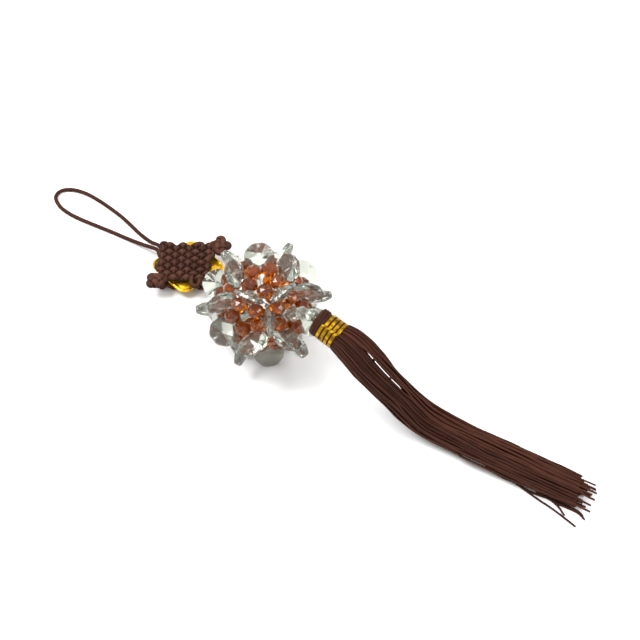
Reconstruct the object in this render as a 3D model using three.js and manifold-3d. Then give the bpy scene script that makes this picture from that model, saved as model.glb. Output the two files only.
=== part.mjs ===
// A beaded tassel that lies on a table: hanging loop, woven knot round a gold plate, ball of beads,
// neck beads, wound head and string skirt. Millimetres, +Z up, the tassel's length along X. The origin
// is on the table, under the middle of everything but the loop.
import * as THREE from "three";
import { mergeVertices } from "three/addons/utils/BufferGeometryUtils.js";
import Module from "manifold-3d";

const wasm = await Module();
wasm.setup();

const GAP = 0.3; // between pieces that touch
const STRING_TURN = THREE.MathUtils.degToRad(-9.2); // the string leaves the ball this far round from +X

// The ball is a dodecahedron of beads: a ring on each face, a clear petal on each edge.
const PETAL = { flats: 14, rim: 1.4, thick: 7, out: 25 };
const AMBER = {
  radius: 3.9,
  belt: 1.3, // half the length of its widest part
  halfLength: 3.6,
  thread: 0.7, // radius of the thread between two beads
  sides: 8,
  ring: 6.8, // from the ring's middle to a bead's
  openRing: 7.6, // the same on the string's side, where the string passes through
  out: 18.8, // from the ball's middle
};
const NEIGHBOUR_DOT = 0.4; // two faces share an edge when their directions' dot product is over this
const EDGE_TILT = Math.acos(Math.sqrt((1 + 1 / Math.sqrt(5)) / 2)); // from a face's axis to its edge
const PETAL_REACH = PETAL.out + PETAL.flats / 2;
const BALL = {
  x: -49,
  y: -1,
  z: PETAL_REACH * Math.cos(EDGE_TILT) + (PETAL.rim / 2) * Math.sin(EDGE_TILT),
  settled: 0.82, // the slack ball sinks: heights above its middle, as a share of an even ball's
};

const CORD = 2; // diameter of the brown cord
const KNOT = {
  x: -106.9,
  y: 9.0,
  turn: THREE.MathUtils.degToRad(35),
  across: 27.5,
  deep: 26.3,
  layer: 3.7,
  columns: 8,
  rows: 10,
  bump: 0.7,
  edge: 2, // height of the border, where the cords turn back
  scallop: 0.8,
  corner: 1.6,
};
const KNOT_COLUMNS = KNOT.columns * 2; // of the grid: a bump and the dip beside it
const KNOT_ROWS = KNOT.rows * 2;
// A diamond with round corners, its long diagonal across the knot. Both diagonals are given by halves.
const PLATE = {
  across: 1.4, // of its middle, from the knot's
  deep: -0.5,
  halfLong: 17.9,
  halfShort: 16.2,
  corner: 5,
  thick: 1.6,
  rim: 2.6,
  sunk: 0.3,
  points: 7, // round each corner
};
const EAR = { lobe: 5.3, waist: 3.9, thick: 3.7, bevel: 0.8, points: 24 };
const EARS = [
  { name: "ear_far", across: 16.9, deep: 11.4, turn: 0 },
  { name: "ear_near", across: -13.4, deep: -12.5, turn: Math.PI / 4 },
];

const LINK = { radius: 1.3, steps: 12, stopper: 3.2, stopperOut: 15.9 };
const NECK = [
  { name: "neck_bead_1", radius: 3.7 },
  { name: "neck_bead_2", radius: 3.1 },
  { name: "neck_bead_3", radius: 3.1 },
];
const NECK_OUT = 22.1; // of the first neck bead, from the ball's middle
const NECK_BEND = [-18.5, -5, 47]; // where the string's two directions cross
// A neck bead's cut, as shares of its radius.
const ROUND_CUT = { flat: 0.96, hole: 0.42, belt: 0.36, sides: 8 };

const HEAD = {
  x: -14.5,
  y: -6.3,
  z: 43.9,
  turn: THREE.MathUtils.degToRad(1.7),
  drop: THREE.MathUtils.degToRad(14.6),
  radius: 6.75,
  cap: 3.9,
  band: 9,
  core: 5.6,
  bandRadius: 6.9,
  windings: 4,
  groove: 0.25, // depth between two windings
  sides: 16,
};
// The cap's dome, from the string down: share of the head's radius, and how far along.
const CAP_DOME = [
  [0, 0],
  [0.55, 0.2],
  [0.87, 0.9],
  [1, 2.2],
];

const LOOP_STEPS = 34;
// The loop's middle line, from one side of the knot's far corner round to the other side.
const LOOP_ROUTE = [
  [-126.2, 10.7, 6.9],
  [-128.7, 11.0, 6.0],
  [-132.4, 11.8, 4.4],
  [-141.3, 14.1, 2.3],
  [-150.5, 16.8, 1.3],
  [-159.0, 18.7, 1.1],
  [-166.8, 19.7, 1.1],
  [-174.1, 20.3, 1.1],
  [-181.3, 20.4, 1.1],
  [-187.5, 19.6, 1.1],
  [-192.8, 17.4, 1.1],
  [-196.0, 13.6, 1.1],
  [-194.9, 8.7, 1.1],
  [-188.6, 5.2, 1.1],
  [-181.0, 4.3, 1.1],
  [-174.1, 4.7, 1.1],
  [-168.0, 5.5, 1.1],
  [-162.0, 6.4, 1.1],
  [-155.9, 7.3, 1.1],
  [-149.7, 8.1, 1.1],
  [-143.3, 8.7, 1.4],
  [-136.6, 8.9, 2.6],
  [-130.9, 8.6, 4.5],
  [-127.8, 8.3, 5.8],
  [-125.2, 8.0, 6.9],
];

// The link's middle line, from the knot's near corner to the stopper inside the ball.
const LINK_ROUTE = [
  [-88.6, 6.2, 7.6],
  [-86.9, 5.8, 7.4],
  [-84.0, 5.2, 8.1],
  [-79.0, 4.1, 11.2],
  [-73.0, 2.9, 15.4],
  [-67.0, 1.9, 18.5],
  [-63.0, 1.3, 20.5],
];

// The skirt's sections from the band to the cut ends: middle, half width and half thickness.
const SKIRT_SECTIONS = [
  { x: -1.7, y: -5.9, z: 40.5, half: 6.6, thick: 6.6 },
  { x: 3.5, y: -5.8, z: 38.9, half: 7.6, thick: 7.5 },
  { x: 8.5, y: -5.9, z: 36.4, half: 8.3, thick: 7.8 },
  { x: 13.5, y: -6.1, z: 33.0, half: 8.6, thick: 7.8 },
  { x: 18.3, y: -5.8, z: 28.9, half: 8.7, thick: 7.6 },
  { x: 23.3, y: -4.8, z: 24.0, half: 8.7, thick: 7.2 },
  { x: 28.3, y: -3.4, z: 18.9, half: 8.7, thick: 6.7 },
  { x: 33.5, y: -1.9, z: 13.8, half: 8.8, thick: 6.2 },
  { x: 39.1, y: -0.6, z: 9.3, half: 8.9, thick: 5.7 },
  { x: 44.3, y: 0.0, z: 7.2, half: 9.0, thick: 5.3 },
  { x: 49.5, y: 0.6, z: 5.9, half: 9.1, thick: 5.0 },
  { x: 59.5, y: 1.4, z: 4.9, half: 9.3, thick: 4.8 },
  { x: 74.5, y: 2.7, z: 4.7, half: 9.4, thick: 4.7 },
  { x: 89.5, y: 4.1, z: 4.6, half: 9.5, thick: 4.6 },
  { x: 104.0, y: 5.2, z: 4.5, half: 9.8, thick: 4.5 },
  { x: 115.0, y: 6.1, z: 4.2, half: 10.3, thick: 4.2 },
  { x: 122.5, y: 7.0, z: 3.8, half: 10.8, thick: 3.7 },
];
const SKIRT_POINTS = 20; // round each section
const SKIRT_STRAND = 0.25; // depth of the grooves between strands
const SKIRT_SAG = 1.3; // how much deeper a section is below its middle than above

const FINISH = {
  cord: { color: 0x4a3029, roughness: 0.75, metalness: 0 },
  skirt: { color: 0x46302a, roughness: 0.6, metalness: 0 },
  gold: { color: 0xd9a52c, roughness: 0.22, metalness: 1 },
  goldThread: { color: 0xc79a22, roughness: 0.35, metalness: 0.8 },
  amber: { color: 0xa2511c, roughness: 0.12, metalness: 0 },
  clear: { color: 0xd5ddd8, roughness: 0.05, metalness: 0, transparent: true, opacity: 0.5 },
};

const model = new THREE.Group();
const Z_AXIS = new THREE.Vector3(0, 0, 1);

// Adds a named mesh with a material of its own.
function place(name, geometry, finish, parent = model) {
  const mesh = new THREE.Mesh(geometry, new THREE.MeshStandardMaterial(FINISH[finish]));
  mesh.name = name;
  parent.add(mesh);
  return mesh;
}

// A closed geometry as a solid that can be joined and cut.
function solidOf(geometry) {
  const bare = geometry.clone();
  bare.deleteAttribute("normal");
  bare.deleteAttribute("uv");
  const merged = mergeVertices(bare, 1e-4);
  const triVerts = new Uint32Array(merged.index.array);
  const vertProperties = merged.attributes.position.array;
  return new wasm.Manifold(new wasm.Mesh({ numProp: 3, vertProperties, triVerts }));
}

function geometryOf(solid) {
  const mesh = solid.getMesh();
  const geometry = new THREE.BufferGeometry();
  geometry.setAttribute("position", new THREE.BufferAttribute(mesh.vertProperties, 3));
  geometry.setIndex(new THREE.BufferAttribute(mesh.triVerts, 1));
  geometry.computeVertexNormals();
  return geometry;
}

// A body turned about Y from a profile of [radius, height] rows, lowest first.
function turned(rows, segments, start = 0) {
  const points = rows.map(([radius, height]) => new THREE.Vector2(radius, height));
  return new THREE.LatheGeometry(points, segments, start);
}

// A round tube along a route of points.
function tube(route, radius, steps, sides = 8) {
  const points = route.map((point) => new THREE.Vector3(...point));
  const path = new THREE.CatmullRomCurve3(points, false, "centripetal");
  const section = new THREE.Shape();
  for (let i = 0; i < sides; i++) {
    const angle = (2 * Math.PI * i) / sides;
    section[i ? "lineTo" : "moveTo"](radius * Math.cos(angle), radius * Math.sin(angle));
  }
  return new THREE.ExtrudeGeometry(section, { steps, extrudePath: path, bevelEnabled: false });
}

// A flat ring of points round a middle, with its flats square to both directions.
function sectionRing(middle, first, second, radius, count) {
  return Array.from({ length: count }, (_, i) => {
    const angle = (2 * Math.PI * (i + 0.5)) / count;
    const point = middle.clone().addScaledVector(first, radius * Math.cos(angle));
    return point.addScaledVector(second, radius * Math.sin(angle));
  });
}

// A closed skin over rings of points, each the same way round: its ends are flat, or it joins itself.
function lofted(rings, joined = false) {
  const count = rings[0].length;
  const positions = rings.flat().flatMap((point) => point.toArray());
  const index = [];
  const bands = joined ? rings.length : rings.length - 1;
  for (let r = 0; r < bands; r++) {
    const here = r * count;
    const there = ((r + 1) % rings.length) * count;
    for (let i = 0; i < count; i++) {
      const next = (i + 1) % count;
      index.push(here + i, here + next, there + next, here + i, there + next, there + i);
    }
  }
  const last = (rings.length - 1) * count;
  for (let i = 1; i + 1 < count && !joined; i++) {
    index.push(0, i + 1, i);
    index.push(last, last + i, last + i + 1);
  }
  const geometry = new THREE.BufferGeometry();
  geometry.setAttribute("position", new THREE.Float32BufferAttribute(positions, 3));
  geometry.setIndex(index);
  geometry.computeVertexNormals();
  return geometry;
}

// The twelve face directions: one up, five round the upper half from the string's side, and the
// opposites of these six.
function faceDirections() {
  const lift = Math.atan(0.5);
  const faces = [new THREE.Vector3(0, 0, 1)];
  for (let i = 0; i < 5; i++) {
    const level = new THREE.Vector3(Math.cos(lift), 0, Math.sin(lift));
    faces.push(level.applyAxisAngle(Z_AXIS, STRING_TURN + (2 * Math.PI * i) / 5));
  }
  return faces.concat(faces.map((face) => face.clone().negate()));
}

const FACES = faceDirections();
const STRING_FACE = FACES[1];
const ballCentre = new THREE.Vector3(BALL.x, BALL.y, BALL.z);

// Neighbouring faces share an edge: their directions are 63.4 degrees apart.
function edges() {
  const pairs = [];
  FACES.forEach((first, i) => {
    FACES.slice(i + 1).forEach((second) => {
      if (first.dot(second) > NEIGHBOUR_DOT) pairs.push([first, second]);
    });
  });
  return pairs;
}

// Lowers the upper half of a piece of the ball, whose vertices are put in the ball's own frame first.
function settle(mesh) {
  mesh.updateMatrix();
  mesh.geometry.applyMatrix4(mesh.matrix);
  mesh.position.set(0, 0, 0);
  mesh.quaternion.identity();
  const positions = mesh.geometry.getAttribute("position");
  for (let i = 0; i < positions.count; i++) {
    if (positions.getZ(i) > 0) positions.setZ(i, positions.getZ(i) * BALL.settled);
  }
  mesh.geometry.computeVertexNormals();
}

// A clear bead: an octagon with a thin rim, rising to a point on both sides, its flats square to Y and X.
function petalGeometry() {
  const corner = PETAL.flats / 2 / Math.cos(Math.PI / 8);
  const rows = [
    [0, -PETAL.thick / 2],
    [corner, -PETAL.rim / 2],
    [corner, PETAL.rim / 2],
    [0, PETAL.thick / 2],
  ];
  return turned(rows, 8, Math.PI / 8).rotateX(Math.PI / 2);
}

function addPetals(ball) {
  edges().forEach(([first, second], i) => {
    const along = new THREE.Vector3().crossVectors(first, second).normalize();
    const outward = new THREE.Vector3().addVectors(first, second).normalize();
    const across = new THREE.Vector3().crossVectors(along, outward);
    const petal = place("petal_" + String(i + 1).padStart(2, "0"), petalGeometry(), "clear", ball);
    petal.setRotationFromMatrix(new THREE.Matrix4().makeBasis(along, outward, across));
    petal.position.copy(outward).multiplyScalar(PETAL.out);
    settle(petal);
  });
}

// Five faceted beads on their thread round the Z axis, the first towards +X, as one skin that joins itself.
function ringGeometry(ringRadius) {
  const stations = [
    [-AMBER.halfLength, AMBER.thread],
    [-AMBER.belt, AMBER.radius],
    [AMBER.belt, AMBER.radius],
    [AMBER.halfLength, AMBER.thread],
  ];
  const rings = [];
  for (let bead = 0; bead < 5; bead++) {
    const turn = (2 * Math.PI * bead) / 5;
    const out = new THREE.Vector3(Math.cos(turn), Math.sin(turn), 0);
    const along = new THREE.Vector3(-Math.sin(turn), Math.cos(turn), 0);
    for (const [station, radius] of stations) {
      const middle = out.clone().multiplyScalar(ringRadius).addScaledVector(along, station);
      rings.push(sectionRing(middle, Z_AXIS, out, radius, AMBER.sides));
    }
  }
  return lofted(rings, true);
}

function addRings(ball) {
  FACES.forEach((face, i) => {
    const radius = face === STRING_FACE ? AMBER.openRing : AMBER.ring;
    const ring = place("ring_" + String(i + 1).padStart(2, "0"), ringGeometry(radius), "amber", ball);
    // Each bead points at a corner of its face: away from the middle of a neighbouring edge.
    const neighbour = FACES.find((other) => other !== face && other.dot(face) > NEIGHBOUR_DOT);
    const side = neighbour.clone().addScaledVector(face, -neighbour.dot(face)).normalize();
    const corner = side.clone().applyAxisAngle(face, Math.PI / 5);
    const third = new THREE.Vector3().crossVectors(face, corner);
    ring.setRotationFromMatrix(new THREE.Matrix4().makeBasis(corner, third, face));
    ring.position.copy(face).multiplyScalar(AMBER.out);
    settle(ring);
  });
}

// A point of the knot's grid: its border has a scallop for each cord that turns back.
function knotPoint(i, j) {
  const atSide = i === 0 || i === KNOT_COLUMNS;
  const atEnd = j === 0 || j === KNOT_ROWS;
  const pullX = atSide ? KNOT.scallop * (1 - (j % 2)) : 0;
  const pullY = atEnd ? KNOT.scallop * (1 - (i % 2)) : 0;
  const corner = atSide && atEnd ? KNOT.corner : 0;
  const x = (i / KNOT_COLUMNS - 0.5) * (KNOT.across - 2 * (pullX + corner));
  const y = (j / KNOT_ROWS - 0.5) * (KNOT.deep - 2 * (pullY + corner));
  return [x, y];
}

// The border's grid places, once round.
function knotBorder() {
  const border = [];
  for (let i = 0; i < KNOT_COLUMNS; i++) border.push([i, 0]);
  for (let j = 0; j < KNOT_ROWS; j++) border.push([KNOT_COLUMNS, j]);
  for (let i = KNOT_COLUMNS; i > 0; i--) border.push([i, KNOT_ROWS]);
  for (let j = KNOT_ROWS; j > 0; j--) border.push([0, j]);
  return border;
}

// The layer on the table, flat on both faces.
function flatLayer() {
  const outline = new THREE.Shape(knotBorder().map(([i, j]) => new THREE.Vector2(...knotPoint(i, j))));
  return new THREE.ExtrudeGeometry(outline, { depth: KNOT.layer, bevelEnabled: false });
}

// The upper layer: flat below, with a bump above for each crossing of the cords.
function wovenLayer() {
  const positions = [];
  const index = [];
  const at = (i, j) => j * (KNOT_COLUMNS + 1) + i;
  for (let j = 0; j <= KNOT_ROWS; j++) {
    for (let i = 0; i <= KNOT_COLUMNS; i++) {
      const edge = i === 0 || j === 0 || i === KNOT_COLUMNS || j === KNOT_ROWS;
      const raised = i % 2 === 1 && j % 2 === 1;
      const height = edge ? KNOT.edge : KNOT.layer - (raised ? 0 : KNOT.bump);
      positions.push(...knotPoint(i, j), height);
    }
  }
  for (let j = 0; j < KNOT_ROWS; j++) {
    for (let i = 0; i < KNOT_COLUMNS; i++) {
      const square = [at(i, j), at(i + 1, j), at(i + 1, j + 1), at(i, j + 1)];
      // The diagonal always runs to the raised corner, so each bump is a small pyramid.
      if ((i + j) % 2) index.push(square[0], square[1], square[3], square[1], square[2], square[3]);
      else index.push(square[0], square[1], square[2], square[0], square[2], square[3]);
    }
  }
  const border = knotBorder().map(([i, j]) => at(i, j));
  const base = positions.length / 3;
  border.forEach((vertex) => positions.push(positions[3 * vertex], positions[3 * vertex + 1], 0));
  const centre = positions.length / 3;
  positions.push(0, 0, 0);
  border.forEach((vertex, k) => {
    const next = (k + 1) % border.length;
    index.push(vertex, base + k, base + next, vertex, base + next, border[next]);
    index.push(centre, base + next, base + k);
  });
  const geometry = new THREE.BufferGeometry();
  geometry.setAttribute("position", new THREE.Float32BufferAttribute(positions, 3));
  geometry.setIndex(index);
  geometry.computeVertexNormals();
  return geometry;
}

// The plate's outline, drawn in from its edge by a distance, at a height.
function plateRing(inset, height) {
  const long = PLATE.halfLong - PLATE.corner;
  const short = PLATE.halfShort - PLATE.corner;
  const radius = PLATE.corner - inset;
  const ring = [];
  for (let side = 0; side < 4; side++) {
    const facing = (side * Math.PI) / 2;
    // Half of the angle that the outline turns through at this corner.
    const half = side % 2 ? Math.atan2(short, long) : Math.atan2(long, short);
    const reach = side % 2 ? short : long;
    for (let i = 0; i < PLATE.points; i++) {
      const angle = facing + half * ((2 * i) / (PLATE.points - 1) - 1);
      const x = Math.cos(facing) * reach + radius * Math.cos(angle);
      ring.push(new THREE.Vector3(x, Math.sin(facing) * reach + radius * Math.sin(angle), height));
    }
  }
  return ring;
}

// A plain plate with a raised rim on both sides.
function plateGeometry() {
  const half = PLATE.thick / 2;
  const rings = [
    plateRing(PLATE.rim + PLATE.sunk, PLATE.sunk - half),
    plateRing(PLATE.rim, -half),
    plateRing(0, -half),
    plateRing(0, half),
    plateRing(PLATE.rim, half),
    plateRing(PLATE.rim + PLATE.sunk, half - PLATE.sunk),
  ];
  return lofted(rings);
}

// A small clover knot of four lobes, made wider by a margin where it is cut out of the knot.
function earGeometry(margin = 0) {
  const outline = new THREE.Shape();
  for (let i = 0; i < EAR.points; i++) {
    const angle = (2 * Math.PI * i) / EAR.points;
    const lobe = Math.cos(2 * angle) ** 2;
    const radius = EAR.waist + (EAR.lobe - EAR.waist) * lobe - EAR.bevel + margin;
    outline[i ? "lineTo" : "moveTo"](radius * Math.cos(angle), radius * Math.sin(angle));
  }
  return new THREE.ExtrudeGeometry(outline, {
    depth: EAR.thick - 2 * EAR.bevel,
    bevelEnabled: true,
    bevelSize: EAR.bevel,
    bevelThickness: EAR.bevel,
    bevelSegments: 1,
  }).translate(0, 0, EAR.bevel);
}

// An ear's shape, turned and put at its place beside the knot.
function earAt({ across, deep, turn }, margin = 0) {
  return earGeometry(margin).rotateZ(turn).translate(across, deep, 0);
}

function addKnot() {
  const plateFloor = KNOT.layer + GAP;
  const frontFloor = plateFloor + PLATE.thick + GAP;
  const knot = new THREE.Group();
  knot.position.set(KNOT.x, KNOT.y, 0);
  knot.rotation.z = KNOT.turn;
  model.add(knot);
  let front = solidOf(wovenLayer());
  for (const ear of EARS) {
    front = front.subtract(solidOf(earAt(ear, GAP)));
    place(ear.name, earAt(ear), "cord", knot).position.z = frontFloor;
  }
  place("knot_back", flatLayer(), "cord", knot);
  place("knot_front", geometryOf(front), "cord", knot).position.z = frontFloor;
  const middle = new THREE.Vector3(PLATE.across, PLATE.deep, plateFloor + PLATE.thick / 2);
  place("plate", plateGeometry(), "gold", knot).position.copy(middle);
}

// The cord between knot and ball, joined with the knob that keeps its end inside the ball.
function addLink() {
  const knob = new THREE.SphereGeometry(LINK.stopper, 8, 6).rotateX(Math.PI / 2);
  knob.translate(...STRING_FACE.clone().multiplyScalar(-LINK.stopperOut).add(ballCentre));
  const cord = solidOf(tube(LINK_ROUTE, LINK.radius, LINK.steps));
  place("link_cord", geometryOf(cord.add(solidOf(knob))), "cord");
}

// The neck string's middle line: it leaves the ball through the open ring and arches over to the head.
function neckCurve(headTop) {
  const start = STRING_FACE.clone().multiplyScalar(NECK_OUT);
  start.z *= BALL.settled;
  return new THREE.QuadraticBezierCurve3(start.add(ballCentre), new THREE.Vector3(...NECK_BEND), headTop);
}

// A round bead cut with flat sides, its hole along Y.
function neckBead(radius) {
  const flat = ROUND_CUT.flat * radius;
  const belt = ROUND_CUT.belt * radius;
  const hole = ROUND_CUT.hole * radius;
  const rows = [
    [0, -flat],
    [hole, -flat],
    [radius, -belt],
    [radius, belt],
    [hole, flat],
    [0, flat],
  ];
  return turned(rows, ROUND_CUT.sides);
}

function addNeck(headTop) {
  const curve = neckCurve(headTop);
  const beads = NECK.reduce((sum, bead) => sum + 2 * bead.radius, -NECK[0].radius);
  const slack = (curve.getLength() - beads) / NECK.length;
  let distance = 0;
  NECK.forEach((bead, i) => {
    if (i > 0) distance += NECK[i - 1].radius + slack + bead.radius;
    const share = distance / curve.getLength();
    const mesh = place(bead.name, neckBead(bead.radius), "clear");
    mesh.position.copy(curve.getPointAt(share));
    mesh.quaternion.setFromUnitVectors(new THREE.Vector3(0, 1, 0), curve.getTangentAt(share));
  });
}

// The direction in which the head points, away from the ball.
function headForward() {
  const forward = new THREE.Vector3(Math.cos(HEAD.turn), Math.sin(HEAD.turn), -Math.tan(HEAD.drop));
  return forward.normalize();
}

// The wound cap and the narrower core behind it, along +Y.
function capGeometry() {
  const rows = CAP_DOME.map(([share, along]) => [share * HEAD.radius, along]);
  rows.push([HEAD.radius, HEAD.cap - GAP], [HEAD.core, HEAD.cap - GAP]);
  rows.push([HEAD.core, HEAD.cap + HEAD.band], [0, HEAD.cap + HEAD.band]);
  return turned(rows, HEAD.sides);
}

// The band of gold thread round the core, one ridge a winding.
function bandGeometry() {
  const pitch = HEAD.band / HEAD.windings;
  const inner = HEAD.core + GAP;
  const low = HEAD.bandRadius - HEAD.groove;
  const end = HEAD.cap + HEAD.band;
  const rows = [[inner, HEAD.cap]];
  for (let i = 0; i < HEAD.windings; i++) {
    const start = HEAD.cap + i * pitch;
    rows.push([low, start], [HEAD.bandRadius, start + pitch / 2]);
  }
  rows.push([low, end], [inner, end], [inner, HEAD.cap]);
  return turned(rows, HEAD.sides);
}

function addHead() {
  const head = new THREE.Group();
  head.position.set(HEAD.x, HEAD.y, HEAD.z);
  head.quaternion.setFromUnitVectors(new THREE.Vector3(0, 1, 0), headForward());
  model.add(head);
  place("tassel_head", capGeometry(), "cord", head);
  place("gold_band", bandGeometry(), "goldThread", head);
}

// One section of the skirt, square to its path and flattened where it meets the table.
function skirtRing(section, along) {
  const side = new THREE.Vector3().crossVectors(Z_AXIS, along).normalize();
  const up = new THREE.Vector3().crossVectors(along, side);
  const ring = [];
  for (let i = 0; i < SKIRT_POINTS; i++) {
    const angle = (2 * Math.PI * i) / SKIRT_POINTS;
    const groove = i % 2 ? SKIRT_STRAND : 0;
    const wide = (section.half - groove) * Math.cos(angle);
    const high = (section.thick - groove) * Math.sin(angle) * (i > SKIRT_POINTS / 2 ? SKIRT_SAG : 1);
    const lowest = -Math.max(section.z, section.thick);
    const point = new THREE.Vector3(section.x, section.y, section.z).addScaledVector(side, wide);
    point.addScaledVector(up, Math.max(high, lowest));
    point.z = Math.max(point.z, 0);
    ring.push(point);
  }
  return ring;
}

function addSkirt() {
  const middles = SKIRT_SECTIONS.map((section) => new THREE.Vector3(section.x, section.y, section.z));
  const rings = SKIRT_SECTIONS.map((section, i) => {
    const before = middles[Math.max(i - 1, 0)];
    const after = middles[Math.min(i + 1, middles.length - 1)];
    const along = new THREE.Vector3().subVectors(after, before).normalize();
    return skirtRing(section, i === 0 ? headForward() : along);
  });
  place("skirt", lofted(rings), "skirt");
}

function addBall() {
  const ball = new THREE.Group();
  ball.position.copy(ballCentre);
  model.add(ball);
  addPetals(ball);
  addRings(ball);
}

place("hanging_loop", tube(LOOP_ROUTE, CORD / 2, LOOP_STEPS), "cord");
addKnot();
addLink();
addBall();
addNeck(new THREE.Vector3(HEAD.x, HEAD.y, HEAD.z));
addHead();
addSkirt();

export default model;
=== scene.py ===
# %% [markdown]
# # A beaded tassel, one piece at a time
# The charm lies on a pale table: a loop of brown cord, a woven knot that grips a gold plate, a ball of
# amber and clear beads, a head bound with gold thread, and a long skirt of fine cords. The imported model
# comes first. It fixes every place and size, and everything made below goes where it says.

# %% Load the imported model
import math

import bpy
import bmesh
from mathutils import Matrix, Vector


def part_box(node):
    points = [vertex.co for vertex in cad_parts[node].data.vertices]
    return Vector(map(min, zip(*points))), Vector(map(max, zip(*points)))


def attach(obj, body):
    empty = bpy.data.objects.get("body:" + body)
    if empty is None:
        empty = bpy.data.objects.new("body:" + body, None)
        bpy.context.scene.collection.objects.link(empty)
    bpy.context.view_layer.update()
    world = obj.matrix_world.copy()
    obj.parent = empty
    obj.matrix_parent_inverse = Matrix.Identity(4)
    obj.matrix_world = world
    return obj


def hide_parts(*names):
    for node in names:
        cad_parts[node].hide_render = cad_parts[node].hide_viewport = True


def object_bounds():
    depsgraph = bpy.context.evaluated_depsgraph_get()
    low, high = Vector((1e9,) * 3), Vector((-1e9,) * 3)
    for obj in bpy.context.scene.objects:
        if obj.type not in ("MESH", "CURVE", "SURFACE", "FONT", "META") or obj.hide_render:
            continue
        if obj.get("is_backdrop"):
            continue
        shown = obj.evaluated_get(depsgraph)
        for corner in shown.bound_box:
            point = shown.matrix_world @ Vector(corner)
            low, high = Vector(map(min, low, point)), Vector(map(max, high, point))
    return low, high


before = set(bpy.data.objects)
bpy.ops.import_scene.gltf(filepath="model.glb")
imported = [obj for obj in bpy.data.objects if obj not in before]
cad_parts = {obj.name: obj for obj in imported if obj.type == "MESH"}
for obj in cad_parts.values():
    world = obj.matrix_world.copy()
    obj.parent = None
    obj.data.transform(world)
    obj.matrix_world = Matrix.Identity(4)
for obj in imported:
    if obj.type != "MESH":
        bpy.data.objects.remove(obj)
cad_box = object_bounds()
MM = 0.001
box_mm = [round(v / MM, 1) for corner in cad_box for v in corner]
print("packed nodes:", len(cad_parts), "box in mm:", box_mm)

# %% [markdown]
# ## The camera
# The photograph looks down at the charm by 50 degrees, with the skirt running away to the lower right.
# A camera can be moved by eye until the picture fits, but then each change of angle moves the object too.
# The ball's middle is a sure landmark, so the camera is placed from it: a line from the lens through the
# ball's pixel, 650 mm long.

# %% Camera
PHOTO_SIZE = 640  # pixels each way
FOCAL_LENGTH = 1391.65  # pixels
BALL_PIXEL = (264.0, 301.8)
BALL_MIDDLE = Vector((-49, -1, 27.6)) * MM
CAMERA_TURN = math.radians(36)
CAMERA_DROP = math.radians(50) + math.atan((PHOTO_SIZE / 2 - BALL_PIXEL[1]) / FOCAL_LENGTH)
CAMERA_DISTANCE = 650 * MM
SENSOR = 36.0  # mm


def make_camera():
    turn = Matrix.Rotation(CAMERA_TURN, 3, "Z")
    right = turn @ Vector((1, 0, 0))
    forward = turn @ Vector((0, math.cos(CAMERA_DROP), -math.sin(CAMERA_DROP)))
    above = right.cross(forward)
    across = (BALL_PIXEL[0] - PHOTO_SIZE / 2) / FOCAL_LENGTH
    down = (BALL_PIXEL[1] - PHOTO_SIZE / 2) / FOCAL_LENGTH
    ray = (forward + right * across - above * down).normalized()
    camera = bpy.data.objects.new("camera", bpy.data.cameras.new("camera"))
    camera.data.sensor_width = SENSOR
    camera.data.lens = SENSOR * FOCAL_LENGTH / PHOTO_SIZE
    axes = Matrix((right, above, -forward)).transposed()
    camera.matrix_world = Matrix.Translation(BALL_MIDDLE - ray * CAMERA_DISTANCE) @ axes.to_4x4()
    bpy.context.scene.collection.objects.link(camera)
    bpy.context.scene.camera = camera
    return camera


camera = make_camera()
print("camera at", [round(v, 3) for v in camera.location])

# %% [markdown]
# ## Nodes written as Python
# Materials and Geometry Nodes trees are both graphs. One small class stands for a link: arithmetic on it
# adds Math nodes, so a pattern reads as the sum that it is. Every other node comes from one method.

# %% Links
class Link:
    """An output socket of a node. Arithmetic on it adds Math nodes."""

    def __init__(self, tree, socket):
        self.tree = tree
        self.socket = socket

    def __getitem__(self, name):
        return Link(self.tree, self.socket.node.outputs[name])

    def maths(self, operation, other=0.0):
        return self.tree.maths(operation, self, other)

    def __add__(self, other):
        return self.maths("ADD", other)

    def __radd__(self, other):
        return self.tree.maths("ADD", other, self)

    def __sub__(self, other):
        return self.maths("SUBTRACT", other)

    def __rsub__(self, other):
        return self.tree.maths("SUBTRACT", other, self)

    def __mul__(self, other):
        return self.maths("MULTIPLY", other)

    def __rmul__(self, other):
        return self.tree.maths("MULTIPLY", other, self)

    def __truediv__(self, other):
        return self.maths("DIVIDE", other)

    def __pow__(self, other):
        return self.maths("POWER", other)

    def sine(self):
        return self.maths("SINE")

    def cosine(self):
        return self.maths("COSINE")

    def size(self):
        return self.maths("ABSOLUTE")

    def at_least(self, other):
        return self.maths("MAXIMUM", other)

    def at_most(self, other):
        return self.maths("MINIMUM", other)


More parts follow.
